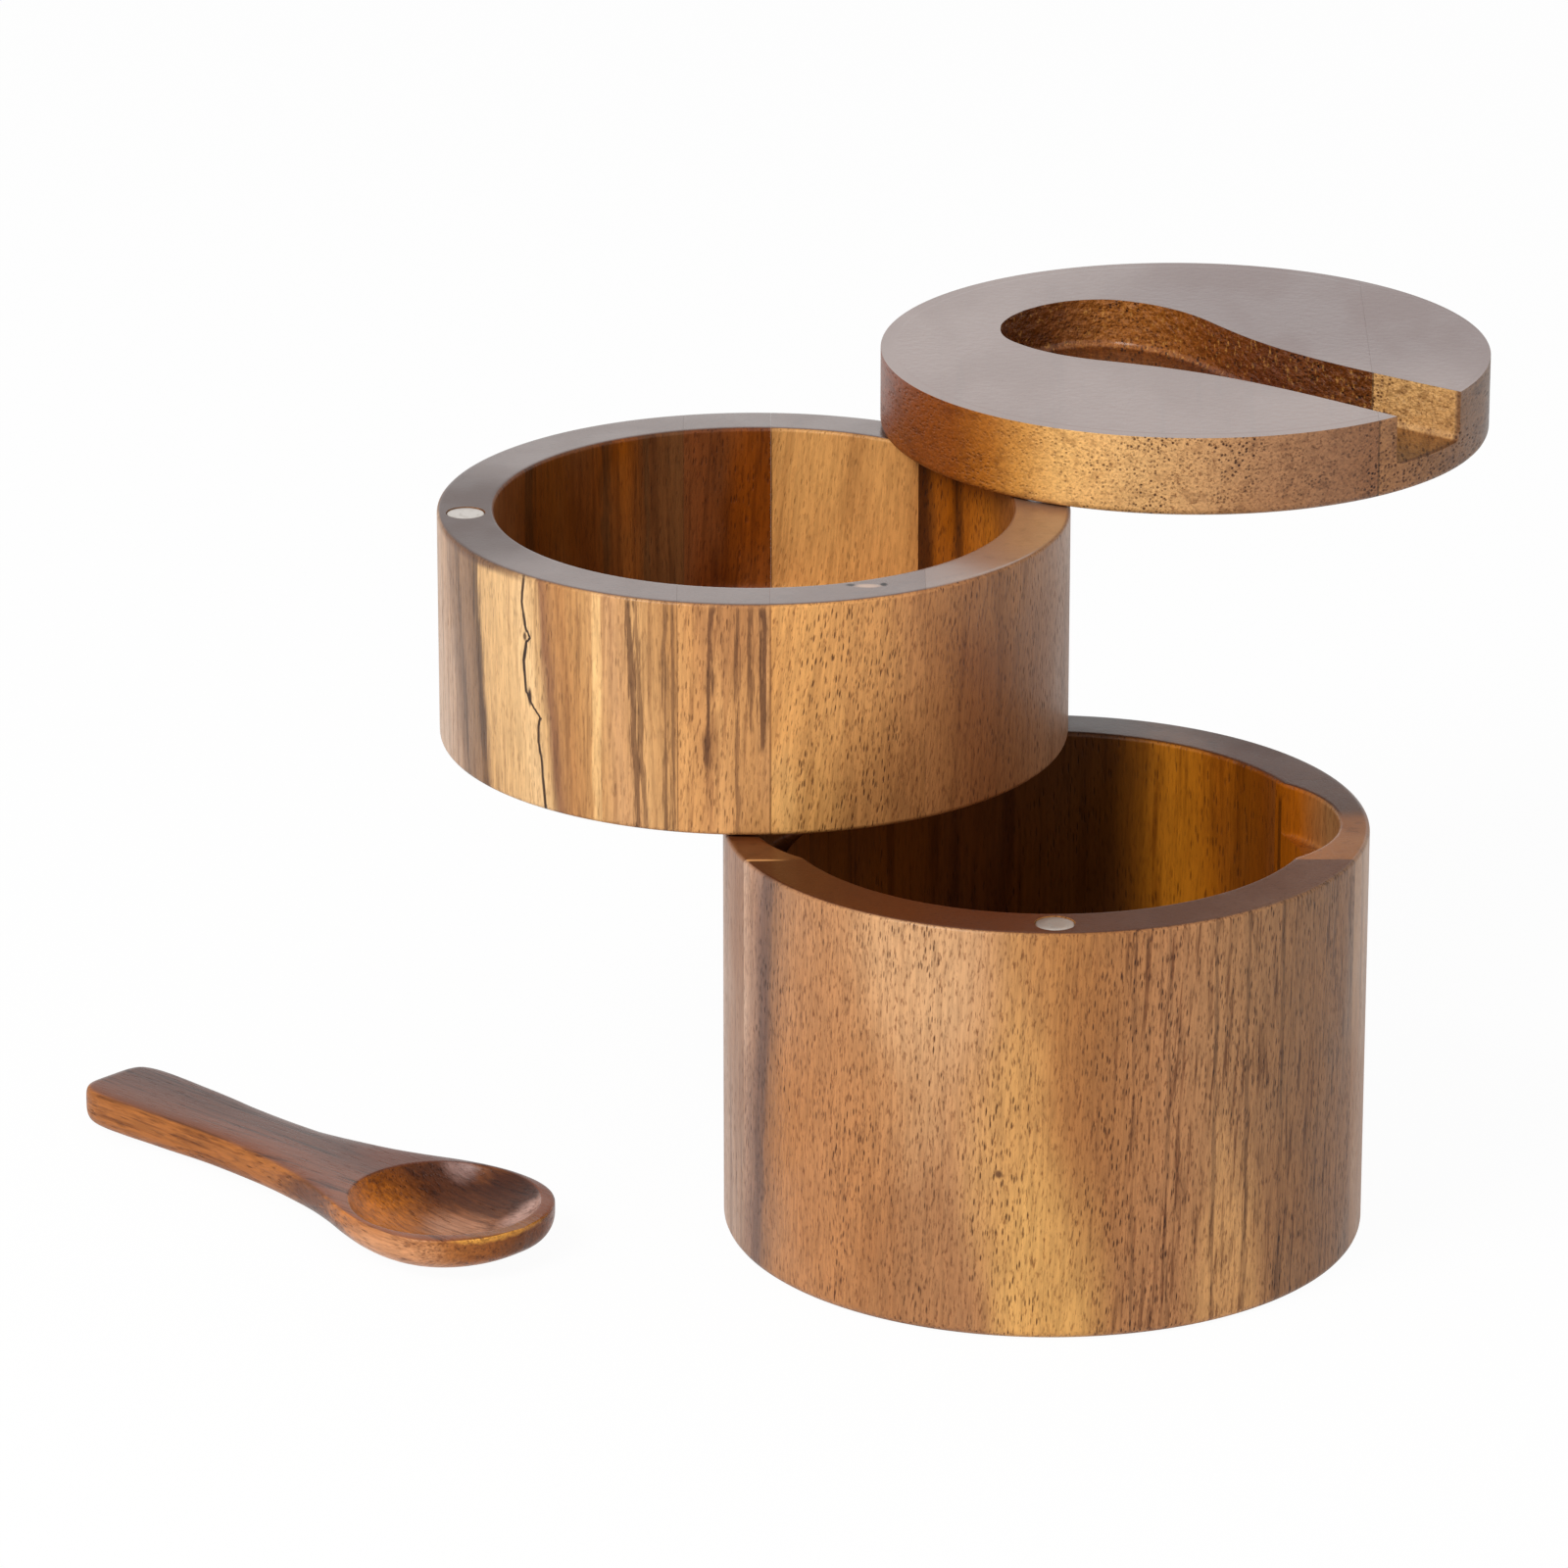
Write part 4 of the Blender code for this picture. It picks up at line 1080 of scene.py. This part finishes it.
lidWood = {
    "poreGap": 0.55, "poreWidth": 0.3, "endDark": 0, "bump": 1, "coat": 0.05, "coatIor": 1.68,
    "topFrom": 11.2, "topCoat": 0.94, "topCalm": 0.9, "topStreaks": 0.12, "floorTint": (176, 158, 140),
    # painted shade: the top is darker towards the right and back, with a little less lacquer there
    "topMarks": (topMarkOrShade((34, 12.9, -26), (74, 60, 58), (96, 60, 50), 0.34),), "insideCoat": 0.2,
}
lidLooks = {
    "lid_wide_board": {
        **lidWood, "slot": "lid_acacia", "span": (-50, 30),
        "bands": (
            (-50, 120, 52, 2), (-43, 134, 62, 2), (-37, 142, 70, 4), (-31, 180, 108, 34),
            (-26, 220, 154, 74), (-20, 246, 190, 114), (-14, 248, 192, 120), (-8, 232, 180, 116),
            (2, 212, 160, 106), (12, 180, 130, 88), (22, 162, 114, 78), (30, 146, 100, 68),
        ),
        "insideOf": 47.5,
        "backBands": (
            (-50, 96, 46, 8), (-30, 90, 42, 6), (-22, 114, 58, 10), (-12, 172, 104, 38), (-4, 164, 96, 30),
            (4, 132, 68, 14), (14, 102, 44, 4), (30, 116, 60, 12),
        ),
        "patches": (patch((-12, 8, -12), (14, 8, 14), (176, 118, 62), 0.6, 1.4, 1.6),),
        "cloudTone": (160, 100, 52), "clouds": 0.2, "streaks": 0.4, "pores": 1, "poreTint": (88, 60, 44),
        "poreZone": (-26, -6, 0.25), "topTone": (118, 80, 62), "topDark": (104, 72, 60), "insideRelief": 5,
        # bright specks: painted highlights, glints on the recess walls
        "insideSpecks": ((238, 170, 84), 0.42),
    },
    "lid_narrow_board": {
        **lidWood, "slot": "streaked_acacia", "span": (28, 50), "bandWander": 2, "fray": 1.4,
        "bands": (
            (28, 176, 124, 80), (34, 166, 116, 76), (40, 142, 100, 66), (46, 118, 86, 62), (50, 80, 58, 42),
        ),
        "insideOf": 48.9, "backBands": ((28, 226, 172, 106), (36, 234, 182, 114), (50, 206, 152, 92)),
        "lines": (line(29.82, 0.24, 0, 0, (72, 42, 24), 0.75),), "cloudTone": (160, 110, 66), "streaks": 0.5,
        "flecks": 0.7, "pores": 0.9, "topTone": (117, 79, 62), "topDark": (103, 71, 60), "insideRelief": 4,
        "insideSpecks": ((112, 64, 30), 0.55),
    },
}


def buildLid():
    blank = addToScene("lid blank", lidDisc())
    cutAway(blank, recessCutter())
    bevel = blank.modifiers.new("soft edges", "BEVEL")
    bevel.width = lid["edgeRound"] * mm
    bevel.segments = 3
    bevel.limit_method = "ANGLE"
    bevel.angle_limit = math.radians(50.0)
    bakeModifiers(blank)
    fibre = polar(1.0, lid["seamAngle"])
    across = (-fibre[1], fibre[0])
    grain = (lidCentre, (*across, 0.0), (*fibre, 0.0))
    fitOut("lid", blank, lidLooks, "_shaped", (lid["seam"],), across, grain, {"lid_magnet": (lidCentre[2], False)})


# Spoon, lying on the table

spoon = {
    "length": 96.4, "halfWidth": 15.8, "bowlHeight": 7.8, "handleHeight": 7.6, "arch": 0.6,
    "end": (-150.3, 42.5), "heading": -43.8,
    "lengthShares": (0.0, 0.004, 0.014, 0.032, 0.06, 0.11, 0.17, 0.235, 0.295, 0.355, 0.415, 0.475,
                     0.535, 0.595, 0.655, 0.715, 0.775, 0.835, 0.89, 0.935, 0.97, 0.992, 1.0),
    "widthShares": (0.0, 0.185, 0.329, 0.427, 0.476, 0.485, 0.471, 0.458, 0.438, 0.439, 0.455, 0.483,
                    0.540, 0.613, 0.725, 0.862, 0.963, 1.0, 0.955, 0.815, 0.585, 0.31, 0.0),
    "waist": 0.55, "bowlWaist": 0.80, "bowlBlend": (0.35, 0.75), "belly": 0.80, "endRound": 0.033,
    "endDeck": 0.28, "endBelly": 0.12, "tipBelly": 0.20, "bellySquare": 2.7,
    "squareShares": (0.0, 0.2, 0.45, 0.62, 0.8, 1.0), "deckSquares": (6.0, 6.5, 4.2, 6.5, 10.0, 10.0),
    "dishCentre": 0.817, "dishHalfLength": 15.3, "dishHalfWidth": 14.8, "dishDepth": 5.2, "dishLift": 2.2,
    "dishRim": 0.35,
}


def spoonRows():
    # A row is one cross-section at a share of the length: a flat deck (a squared curve of power 4 to
    # 10, softest at the neck) over a rounder belly (power 2.7), between its waist and its deck and
    # belly heights. The dish is an ellipsoid; the deck takes the smooth minimum of its own height
    # and the ellipsoid's.
    ends = 0.5 - 0.5 * np.cos(np.linspace(0, np.pi, 301))
    share = (0.35 * ends + 0.65 * np.linspace(0, 1, 301))[1:-1]
    share = np.concatenate([[0.0004, 0.0012], share[share > 0.0016], [0.9990, 0.9997]])
    share = np.unique(share[share < 0.99971])
    half = curveThrough(spoon["lengthShares"], spoon["widthShares"], share) * spoon["halfWidth"]
    start, full = spoon["bowlBlend"]
    bowl = np.clip((share - start) / (full - start), 0, 1)
    bowl = bowl * bowl * (3 - 2 * bowl)
    deck = spoon["handleHeight"] + (spoon["bowlHeight"] - spoon["handleHeight"]) * bowl
    belly = spoon["arch"] * np.sin(np.pi * np.minimum(share / spoon["belly"], 1)) ** 2
    waist = belly + (deck - belly) * (spoon["waist"] + (spoon["bowlWaist"] - spoon["waist"]) * bowl)

    def quarterRound(distance, span):
        return np.sqrt(1 - np.maximum(0, 1 - distance / span) ** 2)

    end = quarterRound(share, spoon["endRound"])
    tip = quarterRound(1 - share, 1 - spoon["belly"])
    rise = (deck - waist) * (spoon["endDeck"] + (1 - spoon["endDeck"]) * end)
    drop = (waist - belly) * (spoon["endBelly"] + (1 - spoon["endBelly"]) * end)
    drop *= spoon["tipBelly"] + (1 - spoon["tipBelly"]) * tip
    across = np.sin(np.linspace(-np.pi / 2, np.pi / 2, 121))
    square = np.interp(share, spoon["squareShares"], spoon["deckSquares"])[:, None]
    up = (1 - np.abs(across) ** square) ** (1 / square)
    turns = np.linspace(0, np.pi, 62)[1:-1]
    power = 2 / spoon["bellySquare"]
    under = np.sign(np.cos(turns)) * np.abs(np.cos(turns)) ** power
    down = np.abs(np.sin(turns)) ** power
    y = half[:, None] * np.concatenate([across, under])
    top = waist[:, None] + rise[:, None] * up
    x = share * spoon["length"]
    deep = spoon["dishDepth"] + spoon["dishLift"]
    widen = 1 / math.sqrt(1 - (spoon["dishLift"] / deep) ** 2)
    reach = (((x[:, None] - spoon["dishCentre"] * spoon["length"]) / (spoon["dishHalfLength"] * widen)) ** 2
             + (y[:, : len(across)] / (spoon["dishHalfWidth"] * widen)) ** 2)
    bottom = spoon["bowlHeight"] + spoon["dishLift"] - deep * np.sqrt(np.maximum(1 - reach, 0))
    soft = spoon["dishRim"]
    blend = np.clip(0.5 + 0.5 * (bottom - top) / soft, 0, 1)
    dished = bottom * (1 - blend) + top * blend - soft * blend * (1 - blend)
    dished = np.where(np.abs(bottom - top) < soft * 4, dished, np.minimum(bottom, top))
    z = np.concatenate([dished, waist[:, None] - drop[:, None] * down], axis=1)
    rows = np.stack([np.broadcast_to(x[:, None], y.shape), y, z], axis=-1)
    return placed(rows, spoon["heading"], (*spoon["end"], 0.0))


spoonLook = {
    "slot": "spoon_wood", "span": (-17, 17), "lean": 0.01, "bandWander": 2, "fray": 1.4,
    "bands": (
        (-17, 184, 116, 66), (-12, 182, 114, 56), (-6, 172, 104, 48), (0, 140, 80, 32), (4, 134, 76, 32),
        (10, 150, 84, 36), (17, 172, 104, 48),
    ),
    "patches": (
        # painted shade on the near side of the neck
        patch((-11, 4, 13), (8, 8, 16), (96, 54, 34), 0.95, 2),
        patch((-6, 7, 24), (11, 6, 12), (214, 126, 36), 0.95, 0.8, 0.9),
        patch((8.5, 6, 22), (7, 20, 13), (72, 34, 14), 1, 1, 0.8),
        patch((12, 6, 34), (9, 20, 13), (64, 28, 10), 1, 1.6, 0.6),
        # painted reflection: three pale sheen patches in the dish
        patch((12, 6, 21), (3, 20, 5.5), (150, 118, 110), 0.85, 1.6, 0.6),
        patch((1, 4, 33), (6.5, 20, 9), (194, 140, 108), 0.85, 2.4),
        patch((7.5, 5, 41), (5.5, 20, 5.5), (206, 166, 152), 0.85, 2.4, 0.4),
        patch((-15, 3, 36), (7, 6, 16), (216, 156, 112), 0.75, 2),
        patch((2, 2, 50), (13, 6, 5), (118, 90, 76), 0.8, 2),
        # painted highlight along the rim edge at the tip
        patch((-5, 7.7, 47), (13, 1.1, 5), (255, 186, 84), 0.95, 1.2, 0.6),
    ),
    "cloudTone": (136, 78, 36), "clouds": 0.25, "streakGap": 1, "streakLength": 26, "flecks": 0.45,
    "pores": 0.5, "poreGap": 0.45, "poreLength": 4, "roughness": 0.36, "specular": 0.2, "coat": 0.04,
    "topFrom": 6.2,
    "topBands": (
        (-17, 140, 78, 46), (-8, 132, 72, 46), (-2, 116, 64, 44), (1, 92, 54, 42), (17, 94, 56, 44),
    ),
    "topDark": (72, 40, 30), "topAmount": 0.88, "topCoat": 0.2, "topCalm": 0.2, "topStreaks": 0.95,
    "topMarks": (
        topMarkOrShade((6, 7, 42), (20, 5, 14), (118, 54, 4), 1.0),
        topMarkOrShade((7, 7, 14), (9, 5, 12), (106, 62, 48), 0.8),
    ),
}


def buildSpoon():
    mesh = meshFromGrid("spoon", spoonRows())
    smoothShade(mesh, 50.0)
    fibre = polar(1.0, spoon["heading"])
    middle = np.append(np.array(spoon["end"]) + fibre * spoon["length"] * 0.5, 0.0)
    grain = (middle, (-fibre[1], fibre[0], 0.0), (*fibre, 0.0))
    finishPiece(addToScene("spoon_carved", mesh), "spoon", "spoon",
                woodMaterial("spoon wood", spoonLook, grain))


# Floor, light and camera

studio = {
    "ambient": 0.5,                 # world light on the object
    "lights": {"key": (13.0, (-0.75, -0.75, 1.0), 0.6), "fill": (1.2, (0.9, -0.8, 0.5), 0.8)},  # power, place, size
    "aim": (-0.02, 0.02, 0.05),
    "floorTone": (250, 249, 248), "floorGlow": 0.962, "floorHalf": 6.0,
    "lens": 195.66, "sensor": 36.0, "cameraPlace": (-0.04055, -1.2398, 0.5143), "cameraDrop": 19.639,
}


def seenStraight(tree):
    # 1 for what the camera sees by itself or in a reflection, 0 for what lights the object.
    path = addNode(tree, "LightPath").outputs
    seen = math1("MAXIMUM", path["Is Camera Ray"], path["Is Glossy Ray"])
    return math1("MAXIMUM", seen, path["Is Transmission Ray"])


def buildStudio():
    # The background is white only to the camera and to reflections; the object gets plain light.
    white = (1.0, 1.0, 1.0, 1.0)
    world = bpy.data.worlds.new("studio")
    bpy.context.scene.world = world
    tree = startTree(world)
    strength = remap(seenStraight(tree), 0.0, 1.0, studio["ambient"], 1.0)
    sky = addNode(tree, "Background", {"Color": white, "Strength": strength})
    addNode(tree, "OutputWorld", {"Surface": sky.outputs[0]})

    floorMesh = bpy.data.meshes.new("floor")
    wide = studio["floorHalf"]
    floorMesh.from_pydata([(-wide, -wide, 0), (wide, -wide, 0), (wide, wide, 0), (-wide, wide, 0)], [], [(0, 1, 2, 3)])
    floor = addToScene("floor", floorMesh)
    material = bpy.data.materials.new("pale floor")
    tree = startTree(material)
    matt = addNode(tree, "BsdfDiffuse", {"Color": linear(studio["floorTone"])}).outputs[0]
    glow = addNode(tree, "Emission", {"Color": white, "Strength": 1.0}).outputs[0]
    share = times(seenStraight(tree), studio["floorGlow"])
    mixed = addNode(tree, "MixShader", {0: share, 1: matt, 2: glow}).outputs[0]
    addNode(tree, "OutputMaterial", {"Surface": mixed})
    floorMesh.materials.append(material)

    for name, (power, place, size) in studio["lights"].items():
        data = bpy.data.lights.new(name, "AREA")
        data.shape = "SQUARE"
        data.size = size
        data.energy = power
        light = addToScene(name, data)
        light.location = place
        aim = Vector(studio["aim"]) - light.location
        light.rotation_euler = aim.to_track_quat("-Z", "Y").to_euler()


def buildCamera():
    data = bpy.data.cameras.new("camera")
    data.sensor_width = studio["sensor"]
    data.lens = studio["lens"]
    data.clip_end = 50.0
    camera = addToScene("camera", data)
    camera.location = studio["cameraPlace"]
    camera.rotation_euler = (math.radians(90 - studio["cameraDrop"]), 0.0, 0.0)
    bpy.context.scene.camera = camera
    bpy.context.scene.view_settings.view_transform = "Standard"


print("building the base bowl")
buildBase()
print("building the tray")
buildTray()
print("building the lid")
buildLid()
print("carving the spoon")
buildSpoon()
print("setting the floor, lights and camera")
buildStudio()
buildCamera()
